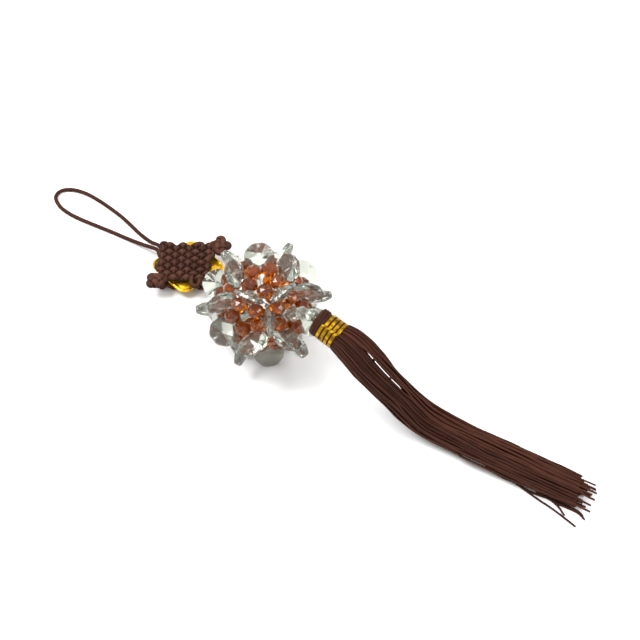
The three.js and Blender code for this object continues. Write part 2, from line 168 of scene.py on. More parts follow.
# %% Trees
class Tree:
    """A graph of shader or geometry nodes."""

    def __init__(self, graph):
        self.graph = graph

    def node(self, kind, settings=None, sockets=None):
        """Adds a node: its settings come first, then the values or links of its sockets."""
        made = self.graph.nodes.new(kind)
        for name, value in (settings or {}).items():
            if name == "stops":
                self.set_stops(made.color_ramp.elements, value)
            else:
                setattr(made, name, value)
        for key, value in (sockets or {}).items():
            same = [s for s in made.inputs if s.name == key and s.enabled]
            target = same[0] if same else made.inputs[key]
            if isinstance(value, Link):
                self.graph.links.new(value.socket, target)
            else:
                target.default_value = value
        live = [s for s in made.outputs if s.enabled]
        return Link(self, live[0]) if live else made

    def set_stops(self, elements, stops):
        while len(elements) < len(stops):
            elements.new(1.0)
        for element, (place, colour) in zip(elements, stops):
            element.position = place
            element.color = colour

    def maths(self, operation, first, second):
        return self.node("ShaderNodeMath", {"operation": operation}, {0: first, 1: second})

    def vector(self, operation, first, second=None, scale=None):
        sockets = {0: first}
        if second is not None:
            sockets[1] = second
        if scale is not None:
            sockets["Scale"] = scale
        return self.node("ShaderNodeVectorMath", {"operation": operation}, sockets)

    def vector_of(self, x, y, z):
        return self.node("ShaderNodeCombineXYZ", None, {"X": x, "Y": y, "Z": z})

    def parts_of(self, vector):
        parts = self.node("ShaderNodeSeparateXYZ", None, {"Vector": vector})
        return parts["X"], parts["Y"], parts["Z"]

    def mix(self, factor, first, second):
        sockets = {"Factor": factor, "A": first, "B": second}
        return self.node("ShaderNodeMix", {"data_type": "RGBA"}, sockets)


# %% Geometry Nodes helpers
def new_tree(name, inputs):
    """A geometry tree and the link of its first input. Inputs maps a name to a socket type."""
    graph = bpy.data.node_groups.new(name, "GeometryNodeTree")
    graph.interface.new_socket("Geometry", in_out="OUTPUT", socket_type="NodeSocketGeometry")
    graph.interface.new_socket("Geometry", in_out="INPUT", socket_type="NodeSocketGeometry")
    for label, kind in inputs.items():
        graph.interface.new_socket(label, in_out="INPUT", socket_type="NodeSocket" + kind)
    tree = Tree(graph)
    return tree, tree.node("NodeGroupInput")


def end_tree(tree, geometry, material):
    """Instances become real, and the material goes on last."""
    real = tree.node("GeometryNodeRealizeInstances", None, {"Geometry": geometry})
    done = tree.node("GeometryNodeSetMaterial", None, {"Geometry": real, "Material": material})
    output = tree.graph.nodes.new("NodeGroupOutput")
    tree.graph.links.new(done.socket, output.inputs["Geometry"])


def grown(name, tree, values, start=None):
    """Runs a tree on a mesh and keeps the result as a plain mesh, with the modifier gone."""
    host = bpy.data.objects.new(name, start or bpy.data.meshes.new(name))
    bpy.context.scene.collection.objects.link(host)
    modifier = host.modifiers.new("nodes", "NODES")
    modifier.node_group = tree.graph
    for item in tree.graph.interface.items_tree:
        if item.in_out == "INPUT" and item.name in values:
            modifier[item.identifier] = values[item.name]
    evaluated = host.evaluated_get(bpy.context.evaluated_depsgraph_get())
    mesh = bpy.data.meshes.new_from_object(evaluated)
    host.modifiers.remove(modifier)
    host.data = mesh
    mesh.name = name
    triangles = sum(len(face.vertices) - 2 for face in mesh.polygons)
    print(name, "has", triangles, "triangles")
    return host


# %% [markdown]
# ## Light and table
# The photograph is a plain product picture on white: broad, soft light from above and a little from the
# left, and hardly a shadow. A panorama of a real studio would light it well, but it needs a picture file.
# A bright sky and two area lights do the same. The sky darkens towards the horizon, because glass and
# polished gold only look like themselves with something dark to reflect.

# %% Plain finish
def srgb(red, green, blue):
    """A colour given as three numbers from 0 to 255, in the linear values that shaders use."""
    shares = [c / 255 for c in (red, green, blue)]
    linear = [((c + 0.055) / 1.055) ** 2.4 if c > 0.04 else c / 12.92 for c in shares]
    return (*linear, 1.0)


def plain_material(name, colour, roughness):
    material = bpy.data.materials.new(name)
    material.use_nodes = True
    shader = material.node_tree.nodes["Principled BSDF"]
    shader.inputs["Base Color"].default_value = colour
    shader.inputs["Roughness"].default_value = roughness
    return material


# %% Light and table
SKY_STRENGTH = 1.05
SKY_STOPS = [(0.0, (0.42, 0.42, 0.43, 1)), (0.3, (0.66, 0.66, 0.66, 1)), (0.7, (1, 1, 1, 1))]
TABLE_WHITE = (0.93, 0.93, 0.93, 1)
TABLE_HALF = 6  # m, so far that its edge isn't seen


def area_light(name, place, target, size, power):
    light = bpy.data.objects.new(name, bpy.data.lights.new(name, "AREA"))
    light.data.shape = "DISK"
    light.data.size = size
    light.data.energy = power
    light.location = place
    light.rotation_mode = "QUATERNION"
    light.rotation_quaternion = (Vector(target) - Vector(place)).to_track_quat("-Z", "Y")
    bpy.context.scene.collection.objects.link(light)


def make_table():
    mesh = bpy.data.meshes.new("table")
    corners = [(x * TABLE_HALF, y * TABLE_HALF, 0) for x, y in ((-1, -1), (1, -1), (1, 1), (-1, 1))]
    mesh.from_pydata(corners, [], [(0, 1, 2, 3)])
    mesh.materials.append(plain_material("white_table", TABLE_WHITE, 0.9))
    table = bpy.data.objects.new("table", mesh)
    bpy.context.scene.collection.objects.link(table)
    table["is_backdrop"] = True


def make_world():
    """A sky that is bright above and darker towards the horizon."""
    world = bpy.data.worlds.new("studio")
    world.use_nodes = True
    tree = Tree(world.node_tree)
    _, _, height = tree.parts_of(tree.node("ShaderNodeTexCoord")["Generated"])
    sky = tree.node("ShaderNodeValToRGB", {"stops": SKY_STOPS}, {"Fac": height})
    background = world.node_tree.nodes["Background"]
    tree.graph.links.new(sky.socket, background.inputs["Color"])
    background.inputs["Strength"].default_value = SKY_STRENGTH
    bpy.context.scene.world = world


bpy.context.scene.view_settings.view_transform = "Standard"
make_world()
make_table()
area_light("key_light", (-0.5, -0.25, 0.9), (-0.03, 0, 0), size=0.5, power=9.5)
area_light("fill_light", (0.7, 0.3, 0.8), (0.02, 0, 0), size=0.6, power=5.5)
print("the sky's strength is", SKY_STRENGTH, "and the table is", 2 * TABLE_HALF, "m wide")

# %% [markdown]
# ## Brown cord and string
# The loop and the knot are tied from one 2 mm braided nylon cord, satin and dark brown with a red cast. The
# skirt is a finer cord of the same colour. A curve with a bevel would give the tube at once, but not a
# pattern that runs along it. So cords are swept along routes by one tree, which leaves three attributes on
# the mesh: how far along the cord a point is, where it is round the cord, and a shade of its own for each
# cord. The material draws the braid from these, so it follows every bend. The cord of the knot is a little
# redder, and gets darker down in the hollows between its runs, where little light reaches.

# %% Cord finish
def attribute(tree, name, output):
    return tree.node("ShaderNodeAttribute", {"attribute_name": name})[output]


def bare_material(name, constants):
    """A material with constants on its Principled shader, and its tree."""
    material = bpy.data.materials.new(name)
    material.use_nodes = True
    shader = material.node_tree.nodes["Principled BSDF"]
    for socket, value in constants.items():
        shader.inputs[socket].default_value = value
    return material, Tree(material.node_tree), shader


def feed(tree, shader, socket, link):
    tree.graph.links.new(link.socket, shader.inputs[socket])


def cord_finish(name, dark, light, strands, lay, depth, painted_shade_heights=None):
    """Braided cord: strands of a given lay cross round it, and the grooves between them are painted darker,
    as painted shade.

    Below the second of two given heights the cord is painted darker still, as painted shade in the hollows of
    a knot, and is darkest at the first.
    """
    material, tree, shader = bare_material(name, {"Specular IOR Level": 0.1})
    x, y, _ = tree.parts_of(attribute(tree, "rim", "Vector"))
    angle = y.maths("ARCTAN2", x)
    along = attribute(tree, "along", "Fac") * (2 * math.pi / lay)
    right_hand = (angle * strands + along).sine()
    left_hand = (angle * strands - along).sine()
    braid = right_hand * left_hand * 0.5 + 0.5
    place = tree.node("ShaderNodeTexCoord")["Object"]
    patches = tree.node("ShaderNodeTexNoise", None, {"Vector": place, "Scale": 160.0, "Detail": 3.0})
    shade = attribute(tree, "shade", "Fac")
    # The braid term paints the grooves between strands darker: painted shade. The cord's own shade and the
    # noise patches vary its tone at random.
    lightness = braid * 0.35 + shade * 0.4 + patches * 0.45 - 0.1
    # Painted shade: low down in the knot the colour is darkened, for the shade in the hollows between its
    # runs.
    if painted_shade_heights:
        _, _, height = tree.parts_of(place)
        lit_share = ((height - painted_shade_heights[0]) / (painted_shade_heights[1] - painted_shade_heights[0])).at_least(0.0).at_most(1.0)
        lightness = lightness * (lit_share * 0.8 + 0.2)
    feed(tree, shader, "Base Color", tree.mix(lightness, dark, light))
    feed(tree, shader, "Roughness", 0.62 - braid * 0.14)
    bump = tree.node("ShaderNodeBump", None, {"Height": braid, "Distance": depth, "Strength": 0.8})
    feed(tree, shader, "Normal", bump)
    return material


brown_cord = cord_finish("brown_cord", srgb(22, 9, 6), srgb(92, 52, 38), 4, 1.6 * MM, 0.06 * MM)
brown_string = cord_finish("brown_string", srgb(20, 9, 6), srgb(84, 47, 34), 2, 1.4 * MM, 0.05 * MM)
# The knot's cord is painted darker below the second of these heights and darkest at the first: painted shade
# in its hollows.
KNOT_PAINTED_SHADE = (7.3 * MM, 10.7 * MM)  # heights above the table
knot_cord = cord_finish(
    "knot_cord", srgb(16, 7, 4), srgb(104, 66, 52), 4, 1.6 * MM, 0.06 * MM, KNOT_PAINTED_SHADE
)
print("made", brown_cord.name, brown_string.name, "and", knot_cord.name)


# %% The tree that sweeps a cord
THIN_END = 0.02  # how thin a rounded end gets, as a share of the cord


def cord_tree():
    """Turns polylines into cords of round strands laid round each other."""
    inputs = {
        "Strand radius": "Float",
        "Strands": "Int",
        "Strand offset": "Float",
        "Sides": "Int",
        "Step": "Float",
        "Lay": "Float",
        "Round end": "Float",
        "Seed": "Int",
        "Material": "Material",
    }
    tree, entry = new_tree("swept_cord", inputs)
    line = tree.node("GeometryNodeMeshToCurve", None, {"Mesh": entry})
    sockets = {"Curve": line, "Length": entry["Step"]}
    line = tree.node("GeometryNodeResampleCurve", {"mode": "LENGTH"}, sockets)
    spline = tree.node("GeometryNodeSplineParameter")
    total = tree.node("GeometryNodeSplineLength")
    along = spline["Length"]
    line = stored(tree, line, "along", "FLOAT", along, "POINT")
    chance = {"ID": tree.node("GeometryNodeInputIndex"), "Seed": entry["Seed"], "Min": 0.0, "Max": 1.0}
    shade = tree.node("FunctionNodeRandomValue", {"data_type": "FLOAT"}, chance)
    line = stored(tree, line, "shade", "FLOAT", shade, "CURVE")
    sockets = {"Curve": line, "Tilt": along * (2 * math.pi) / entry["Lay"]}
    line = tree.node("GeometryNodeSetCurveTilt", None, sockets)
    to_end = along.at_most(total["Length"] - along)
    missing = 1.0 - (to_end / entry["Round end"]).at_most(1.0)
    scale = (1.0 - missing * missing).at_least(THIN_END**2) ** 0.5
    end_swept(tree, entry, line, cord_section(tree, entry), scale)
    return tree


def end_swept(tree, entry, curve, section, scale=1.0):
    """Sweeps a section along curves, smooth and with its ends closed, and ends the tree."""
    sockets = {"Curve": curve, "Profile Curve": section, "Scale": scale, "Fill Caps": True}
    swept = tree.node("GeometryNodeCurveToMesh", None, sockets)
    smooth = tree.node("GeometryNodeSetShadeSmooth", None, {"Geometry": swept})
    end_tree(tree, smooth, entry["Material"])


def stored(tree, geometry, name, kind, value, domain):
    sockets = {"Geometry": geometry, "Name": name, "Value": value}
    settings = {"data_type": kind, "domain": domain}
    return tree.node("GeometryNodeStoreNamedAttribute", settings, sockets)


def cord_section(tree, entry):
    """One circle for each strand, spaced round the middle. It stores where each point is on its rim."""
    sockets = {"Resolution": entry["Sides"], "Radius": entry["Strand radius"]}
    circle = tree.node("GeometryNodeCurvePrimitiveCircle", None, sockets)
    place = tree.node("GeometryNodeInputPosition")
    circle = stored(tree, circle, "rim", "FLOAT_VECTOR", tree.vector("NORMALIZE", place), "POINT")
    number = tree.node("GeometryNodeInputIndex")
    angle = number * (2 * math.pi) / entry["Strands"]
    offset = entry["Strand offset"]
    middle = tree.vector_of(angle.cosine() * offset, angle.sine() * offset, 0.0)
    points = tree.node("GeometryNodePoints", None, {"Count": entry["Strands"], "Position": middle})
    sockets = {"Points": points, "Instance": circle}
    circles = tree.node("GeometryNodeInstanceOnPoints", None, sockets)
    return tree.node("GeometryNodeRealizeInstances", None, {"Geometry": circles})


swept_cord = cord_tree()
print("the tree that sweeps a cord has", len(swept_cord.graph.nodes), "nodes")


# %% Routes
def smoothed(points, step):
    """A smooth curve through the points, with a point about every step along it."""
    points = [Vector(point) for point in points]
    ends = [points[0] * 2 - points[1], *points, points[-1] * 2 - points[-2]]
    line = []
    for before, start, end, after in zip(ends, ends[1:], ends[2:], ends[3:]):
        pieces = max(1, round((end - start).length / step))
        bend = 2 * before - 5 * start + 4 * end - after
        twist = 3 * start - before - 3 * end + after
        for k in range(pieces):
            t = k / pieces
            line.append((2 * start + (end - before) * t + bend * t * t + twist * t**3) / 2)
    return [*line, points[-1]]


def length_of(line):
    return sum((b - a).length for a, b in zip(line, line[1:]))


SQUARE = 0.001 * MM  # the length of a rounded end, where an end isn't rounded


def polylines(name, routes):
    """A mesh of edges only, one chain for each route."""
    mesh = bpy.data.meshes.new(name)
    vertices = [point for route in routes for point in route]
    links = []
    first = 0
    for route in routes:
        links += [(first + k, first + k + 1) for k in range(len(route) - 1)]
        first += len(route)
    mesh.from_pydata(vertices, links, [])
    return mesh


def cords(
    name, routes, material, radius, strands=1, lay=6 * MM, step=0.6 * MM, sides=12, rounded=SQUARE, seed=1
):
    """Sweeps cords of a radius along routes, as one piece. Several strands share the radius."""
    strand = radius if strands == 1 else radius / (1 + 1 / math.sin(math.pi / strands))
    values = {
        "Strand radius": strand,
        "Strands": strands,
        "Strand offset": radius - strand,
        "Sides": sides,
        "Step": step,
        "Lay": lay,
        "Round end": rounded,
        "Seed": seed,
        "Material": material,
    }
    piece = grown(name, swept_cord, values, polylines(name, routes))
    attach(piece, "root")
    return piece


# %% [markdown]
# ## The hanging loop
# One stretch of the 2 mm cord leaves the knot's far corner, turns round 70 mm away and comes back to the
# same corner. Cloth or rope simulation could lay it down, but the photograph shows the whole of it, so its
# route is fixed. It is the route of the imported model, repeated here.

# %% Hanging loop
CORD_RADIUS = 1.0 * MM
LOOP_ROUTE = [
    (-123.2, 9.9, 7.3),
    (-126.2, 10.7, 6.9),
    (-128.7, 11.0, 6.0),
    (-132.4, 11.8, 4.4),
    (-141.3, 14.1, 2.3),
    (-150.5, 16.8, 1.3),
    (-159.0, 18.7, 1.1),
    (-166.8, 19.7, 1.1),
    (-174.1, 20.3, 1.1),
    (-181.3, 20.4, 1.1),
    (-187.5, 19.6, 1.1),
    (-192.8, 17.4, 1.1),
    (-196.0, 13.6, 1.1),
    (-194.9, 8.7, 1.1),
    (-188.6, 5.2, 1.1),
    (-181.0, 4.3, 1.1),
    (-174.1, 4.7, 1.1),
    (-168.0, 5.5, 1.1),
    (-162.0, 6.4, 1.1),
    (-155.9, 7.3, 1.1),
    (-149.7, 8.1, 1.1),
    (-143.3, 8.7, 1.4),
    (-136.6, 8.9, 2.6),
    (-130.9, 8.6, 4.5),
    (-127.8, 8.3, 5.8),
    (-125.2, 8.0, 6.9),
    (-122.3, 7.4, 7.3),
]


def make_loop():
    route = smoothed([Vector(point) * MM for point in LOOP_ROUTE], 1.0 * MM)
    loop = cords("loop_cord", [route], brown_cord, CORD_RADIUS, sides=16, step=0.5 * MM)
    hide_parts("hanging_loop")
    length = length_of(route)
    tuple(route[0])
    print("the loop's cord is", round(length / MM, 1), "mm long")


make_loop()

# %% [markdown]
# ## The woven knot
# Two flat square knots of the same cord lie one over the other, with the gold plate between them. Each is a
# plain weave pulled tight: eight cords one way, ten the other, each passing over one and under the next. A
# wave gives the heights. Where a cord turns back at the border it shows as a round knob, and here and there
# two neighbours are drawn out together into a small lobe. A slab with a bumpy face would be quicker to make,
# but only real cords throw the small shadows under their crossings and break up the knot's outline.

# %% Weave
KNOT_MIDDLE = Vector((-106.9, 9.0, 0)) * MM
KNOT_TURN = math.radians(35)
KNOT_PLACE = Matrix.Translation(KNOT_MIDDLE) @ Matrix.Rotation(KNOT_TURN, 4, "Z")
KNOT_CORD = 1.14 * MM  # radius of the cord where the knot squeezes it wide
KNOT_HALF = (13.4 * MM, 12.0 * MM)
BACK_INSET = 1.0 * MM  # how much shorter the lower layer's cords are at each end
COLUMN_PITCH = 3.28 * MM
ROW_PITCH = 2.39 * MM
COLUMNS = 8
ROWS = 10
WAVE = 1.3 * MM
FLATNESS = {"knot_upper": 1.0, "knot_lower": 0.78}  # thickness, as a share of a round cord's
FRONT_HEIGHT = 8.2 * MM
BACK_HEIGHT = 2.0 * MM
FINE = 0.3 * MM  # between points of a route
SHORTER = 0.5 * MM  # how much earlier every second cord ends


def weave_height(place, crossings, pitch, first_side):
    """Height of a cord at a distance past its first crossing. Past its last crossing it dips under."""
    span = (crossings - 1) * pitch
    outside = max(-place, place - span)
    side = first_side * math.cos(math.pi * (0 if place < 0 else crossings - 1))
    if outside > 0 > side:
        return side * WAVE * math.cos(0.5 * math.pi * min(1.0, outside / pitch))
    return first_side * WAVE * math.cos(math.pi * place / pitch)


def weave_runs(count, spacing, crossings, pitch, half, side):
    """The cords that run one way, along Y: each is a list of points round the middle of the knot."""
    runs = []
    first = (crossings - 1) / 2 * pitch
    steps = round(2 * half / FINE)
    for number in range(count):
        x = (number - (count - 1) / 2) * spacing
        reach = half - SHORTER * (number % 2)
        places = [-reach + 2 * reach * k / steps for k in range(steps + 1)]
        over = side * (-1) ** number
        runs.append([Vector((x, y, weave_height(y + first, crossings, pitch, over))) for y in places])
    return runs


# %% Lobes and the routes of a layer
LOBES = [
    (6.56, 10.9, 90, 1.6, 1.5),
    (12.2, 4.8, 0, 1.5, 1.6),
    (-12.2, 6.0, 180, 1.4, 1.3),
    (-12.3, -3.6, 180, 1.6, 1.5),
    (-9.9, -11.6, 270, 1.5, 1.6),
    (6.3, -10.6, 270, 2.0, 5.2),
    (9.8, -11.2, 270, 1.6, 1.7),
    (-11.2, 11.0, 90, 1.3, 1.4),
]  # middle of its root, mm, the way it faces, degrees, half width and reach, mm


LOBE_ROOT = [(-2.5, -1.0), (0, 0.35)]  # how far out and how high a lobe's cords start, mm
LOBE_STEPS = 12


def lobe(x, y, facing, half_width, reach):
    """Two cords that leave the knot side by side and meet in a round turn."""
    points = [(-half_width, out, height) for out, height in LOBE_ROOT]
    for k in range(LOBE_STEPS + 1):
        angle = math.pi * (1 - k / LOBE_STEPS)
        rise = reach - half_width + half_width * math.sin(angle)
        points.append((half_width * math.cos(angle), rise, 0.6 - 0.5 * math.sin(angle)))
    points += [(half_width, out, height) for out, height in reversed(LOBE_ROOT)]
    place = Matrix.Translation((x * MM, y * MM, 0)) @ Matrix.Rotation(math.radians(facing - 90), 4, "Z")
    return [place @ (Vector(point) * MM) for point in smoothed(points, 0.4)]


def weave_routes(height, side, lobes, inset):
    """All routes of one layer, at its height. The inset shortens its cords at both ends."""
    across, deep = KNOT_HALF[0] - inset, KNOT_HALF[1] - inset
    columns = weave_runs(COLUMNS, COLUMN_PITCH, ROWS, ROW_PITCH, deep, side)
    rows = weave_runs(ROWS, ROW_PITCH, COLUMNS, COLUMN_PITCH, across, -side * (-1) ** COLUMNS)
    rows = [[Vector((-p.y, p.x, p.z)) for p in row] for row in rows]
    lift = KNOT_PLACE @ Matrix.Translation((0, 0, height))
    return [[lift @ point for point in route] for route in columns + rows + lobes]


print("one layer is", round(2 * KNOT_HALF[0] / MM, 1), "by", round(2 * KNOT_HALF[1] / MM, 1), "mm")


# %% Knot layers
def squeezed(piece, height):
    """Flattens a piece of cord work towards its middle height."""
    squeeze = Matrix.Translation((0, 0, height)) @ Matrix.Diagonal((1, 1, FLATNESS[piece.name], 1))
    piece.data.transform(squeeze @ Matrix.Translation((0, 0, -height)))


def make_knot():
    tied = {"sides": 12, "step": 0.45 * MM, "rounded": 1.1 * MM}
    lobes = [lobe(*values) for values in LOBES]
    front = weave_routes(FRONT_HEIGHT, 1, lobes, 0)
    piece = cords("knot_upper", front, knot_cord, KNOT_CORD, seed=3, **tied)
    squeezed(piece, FRONT_HEIGHT)
    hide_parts("knot_front")
    back = weave_routes(BACK_HEIGHT, -1, [], BACK_INSET)
    piece = cords("knot_lower", back, brown_cord, KNOT_CORD, seed=4, **tied)
    squeezed(piece, BACK_HEIGHT)
    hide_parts("knot_back")


make_knot()

# %% [markdown]
# ## The knot's ears
# At two opposite corners the cord is drawn into a small clover. One closed route through all four leaves
# would be true to the tying. Two flat rings of cord pushed through each other look the same and are far
# simpler: four round lobes stand out and four crossings lock the middle.

# %% Ears
EAR_CORD = 1.5 * MM  # radius of the cord, squeezed wide as in the knot
EAR_WIDTH = 1.3 * MM  # half the distance between a ring's two runs
RUN_STEPS = 24
TURN_STEPS = 12
JOINT_START = 1.5 * MM  # how far from an ear's middle the cords to the knot start
EARS = {
    "ear_far": (16.9, 11.2, 0, 4.4, 5.0, [(12.4, 9.4), (13.4, 7.2)]),
    "ear_near": (-13.4, -12.5, 45, 3.9, 3.9, [(-9.6, -10.6), (-11.4, -9.0)]),
}  # place in the knot's frame, mm, turn, degrees, both half lengths, mm, and where its cords join the knot


def clover_ring(length):
    """A long flat ring along X. Its two runs pass over and under at the places of the other ring's runs."""
    straight = length - EAR_WIDTH
    points = []
    for run in (1, -1):
        for k in range(RUN_STEPS):
            x = -straight + 2 * straight * k / RUN_STEPS
            wave = math.sin(math.pi * x / (2 * EAR_WIDTH)) if abs(x) < 2 * EAR_WIDTH else 0.0
            points.append(Vector((run * x, -run * EAR_WIDTH, WAVE * wave)))
        for k in range(TURN_STEPS):
            angle = -math.pi / 2 + math.pi * k / TURN_STEPS
            x = straight + EAR_WIDTH * math.cos(angle)
            points.append(Vector((run * x, run * EAR_WIDTH * math.sin(angle), 0)))
    return [*points, points[0]]


def turned_quarter(route):
    return [Vector((point.y, -point.x, point.z)) for point in route]


def make_ears():
    for name, (x, y, turn, length, depth, joints) in EARS.items():
        middle = Vector((x * MM, y * MM, 0))
        place = Matrix.Translation(middle) @ Matrix.Rotation(math.radians(turn), 4, "Z")
        rings = [clover_ring(length * MM), turned_quarter(clover_ring(depth * MM))]
        routes = [[place @ point for point in ring] for ring in rings]
        for joint_x, joint_y in joints:
            joint = Vector((joint_x * MM, joint_y * MM, -0.3 * MM))
            inside = middle + (joint - middle).normalized() * JOINT_START
            routes.append([inside.lerp(joint, k / TURN_STEPS) for k in range(TURN_STEPS + 1)])
        lift = KNOT_PLACE @ Matrix.Translation((0, 0, FRONT_HEIGHT + 0.1 * MM))
        routes = [[lift @ point for point in route] for route in routes]
        ends = {"step": 0.4 * MM, "rounded": 0.6 * MM, "seed": 5}
        piece = cords(name + "_cord", routes, knot_cord, EAR_CORD, **ends)
        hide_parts(name)


make_ears()

# %% [markdown]
# ## The gold plate
# A plain polished plate shows as four bright corners round the knot. It is a diamond with round corners. It
# has a raised rim with a fine groove inside, and its field is a little domed. A flat plate with bevelled
# edges would do from afar, but polished metal shows its shape by what it reflects, so the section is drawn
# in full. The outline is a smaller diamond with a round margin, so one function draws every ring of it,
# from the edge inwards.

# %% Gold plate
PLATE_MIDDLE = Vector((1.4, 0.1, 4.8)) * MM  # in the knot's frame
PLATE_TURN = math.radians(-4)
PLATE_PLACE = KNOT_PLACE @ Matrix.Translation(PLATE_MIDDLE) @ Matrix.Rotation(PLATE_TURN, 4, "Z")
PLATE_LONG = 17.9  # mm, half of each diagonal
PLATE_SHORT = 16.8
PLATE_CORNER = 5.0  # mm, radius
PLATE_RIM = [
    (0.0, 0.0),
    (0.06, 0.3),
    (0.3, 0.62),
    (0.7, 0.8),
    (1.0, 0.8),
    (1.3, 0.55),
    (1.5, 0.25),
    (1.7, 0.25),
    (2.2, 0.42),
    (3.2, 0.62),
]  # how far in from the edge, and how high, mm
PLATE_FIELD = [(0.9, 0.75), (0.7, 0.92), (0.4, 1.0), (0.0, 1.03)]  # share of the way out, and how high
PLATE_STEPS = 12  # points round each corner


def plate_ring(inset):
    """The diamond's outline, drawn in from its edge."""
    lengths = (PLATE_LONG - PLATE_CORNER, PLATE_SHORT - PLATE_CORNER)
    radius = PLATE_CORNER - inset
    points = []
    for side in range(4):
        reach = lengths[side % 2]
        half = math.atan2(reach, lengths[1 - side % 2])
        facing = side * math.pi / 2
        for k in range(PLATE_STEPS):
            angle = facing + half * (2 * k / (PLATE_STEPS - 1) - 1)
            x = reach * math.cos(facing) + radius * math.cos(angle)
            points.append(Vector((x, reach * math.sin(facing) + radius * math.sin(angle), 0)))
    return points


def plate_face():
    """Rings of points from the edge to the middle of one face, in millimetres."""
    rings = []
    for inset, height in PLATE_RIM:
        rings.append([point + Vector((0, 0, height)) for point in plate_ring(inset)])
    field = plate_ring(PLATE_RIM[-1][0])
    for share, height in PLATE_FIELD[:-1]:
        rings.append([point * share + Vector((0, 0, height)) for point in field])
    return [*rings, [Vector((0, 0, PLATE_FIELD[-1][1]))]]


print("one face of the plate has", len(plate_face()), "rings")


# %% Skins over rings
def spun(name, outline, steps, material, place):
    """Spins an outline of (radius, height) round Z, closed at the axis, and puts it in place."""
    turns = [2 * math.pi * k / steps for k in range(steps)]
    rings = []
    for radius, height in outline:
        ring = [Vector((radius * math.cos(t), radius * math.sin(t), height)) for t in turns]
        rings.append(ring if radius > 1e-9 else ring[:1])
    return skinned(name, rings, material, place)


def skinned(name, rings, material, place):
    """Joins rings of points with faces, as one smooth closed piece."""
    shape = bmesh.new()
    rings = [[shape.verts.new(point) for point in ring] for ring in rings]
    for low, high in zip(rings, rings[1:]):
        for k in range(max(len(low), len(high))):
            corners = [low[k % len(low)], low[(k + 1) % len(low)]]
            corners += [high[(k + 1) % len(high)], high[k % len(high)]]
            shape.faces.new(list(dict.fromkeys(corners)))
    bmesh.ops.recalc_face_normals(shape, faces=shape.faces)
    shape.transform(place)
    mesh = bpy.data.meshes.new(name)
    shape.to_mesh(mesh)
    shape.free()
    mesh.polygons.foreach_set("use_smooth", [True] * len(mesh.polygons))
    mesh.materials.append(material)
    piece = bpy.data.objects.new(name, mesh)
    bpy.context.scene.collection.objects.link(piece)
    print(name, "has", sum(len(face.vertices) - 2 for face in mesh.polygons), "triangles")
    return piece


# %% Gold finish
def gold_finish(name, base, roughness, ripple, depth):
    """Polished metal with the shallow unevenness that breaks up its reflections."""
    material, tree, shader = bare_material(name, {"Metallic": 0.85})
    place = tree.node("ShaderNodeTexCoord")["Object"]
    wave = tree.node("ShaderNodeTexNoise", None, {"Vector": place, "Scale": ripple, "Detail": 2.0})
    fine = tree.node("ShaderNodeTexNoise", None, {"Vector": place, "Scale": ripple * 9, "Detail": 4.0})
    feed(tree, shader, "Base Color", tree.mix(wave * 0.9, base, srgb(232, 168, 40)))
    feed(tree, shader, "Roughness", fine * 0.12 + roughness)
    bump = tree.node("ShaderNodeBump", None, {"Height": wave, "Distance": depth, "Strength": 1.0})
    feed(tree, shader, "Normal", bump)
    return material


def make_plate():
    polished = gold_finish("polished_gold", srgb(246, 198, 40), 0.17, 110.0, 0.2 * MM)
    upper = plate_face()
    lower = [[Vector((p.x, p.y, -p.z)) for p in ring] for ring in reversed(upper[1:])]
    rings = [[point * MM for point in ring] for ring in lower + upper]
    plate = skinned("plate_polished", rings, polished, PLATE_PLACE)
    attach(plate, "root")
    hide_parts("plate")


make_plate()

# %% [markdown]
# ## The ball of beads
# The ball is a dodecahedron strung on nylon line. Each of its twelve faces has a ring of five amber beads,
# one towards each corner, and each of its thirty edges carries a clear eight-sided bead that stands on edge
# like a petal. Ninety beads could be placed from a list, but a rule is shorter and can't miss one. An
# icosahedron holds all of their places: its 12 corners are the faces, its 30 edges are the edges turned by
# a right angle, and its 20 faces are the corners. So the trees start from Blender's ico sphere, turned to
# let the tassel's string out of the middle of one ring. The ball is strung slack, so its upper half has sunk
# a little: everything above its middle is drawn down by the same share.

# %% Ball places
STRING_TURN = math.radians(-9.2)
STRING_RISE = math.atan(0.5)
STRING_LEVEL = Vector((math.cos(STRING_RISE), 0, math.sin(STRING_RISE)))
STRING_WAY = Matrix.Rotation(STRING_TURN, 3, "Z") @ STRING_LEVEL
PETAL_OUT = 25 * MM  # from the ball's middle to a petal's
RING_OUT = 18.8 * MM
RING_RADIUS = 6.8 * MM
OPEN_RING_RADIUS = 7.6 * MM
PETAL_HOLE = 5.5 * MM  # from a petal's middle to each of its two holes
BALL_SETTLED = 0.82  # heights above the ball's middle, as a share of an even ball's
SAME_WAY = 0.99  # dot product of two directions that count as the same
BALL_INPUTS = {
    "Turn": "Float",
    "Middle": "Vector",
    "Out": "Float",
    "Ring radius": "Float",
    "Open ring radius": "Float",
    "String way": "Vector",
    "Bead": "Object",
    "Wobble": "Float",
    "Seed": "Int",
    "Material": "Material",
}
BALL_VALUES = {
    "Turn": STRING_TURN,
    "Middle": BALL_MIDDLE,
    "Out": RING_OUT,
    "Ring radius": RING_RADIUS,
    "Open ring radius": OPEN_RING_RADIUS,
    "String way": STRING_WAY,
}


def settled(point):
    """Where a point of an even ball lies once the ball has sunk."""
    rise = point.z - BALL_MIDDLE.z
    return Vector((point.x, point.y, BALL_MIDDLE.z + rise * (BALL_SETTLED if rise > 0 else 1.0)))


def settle(piece):
    for vertex in piece.data.vertices:
        vertex.co = settled(vertex.co)


print("the ball's string leaves it along", [round(v, 3) for v in STRING_WAY])


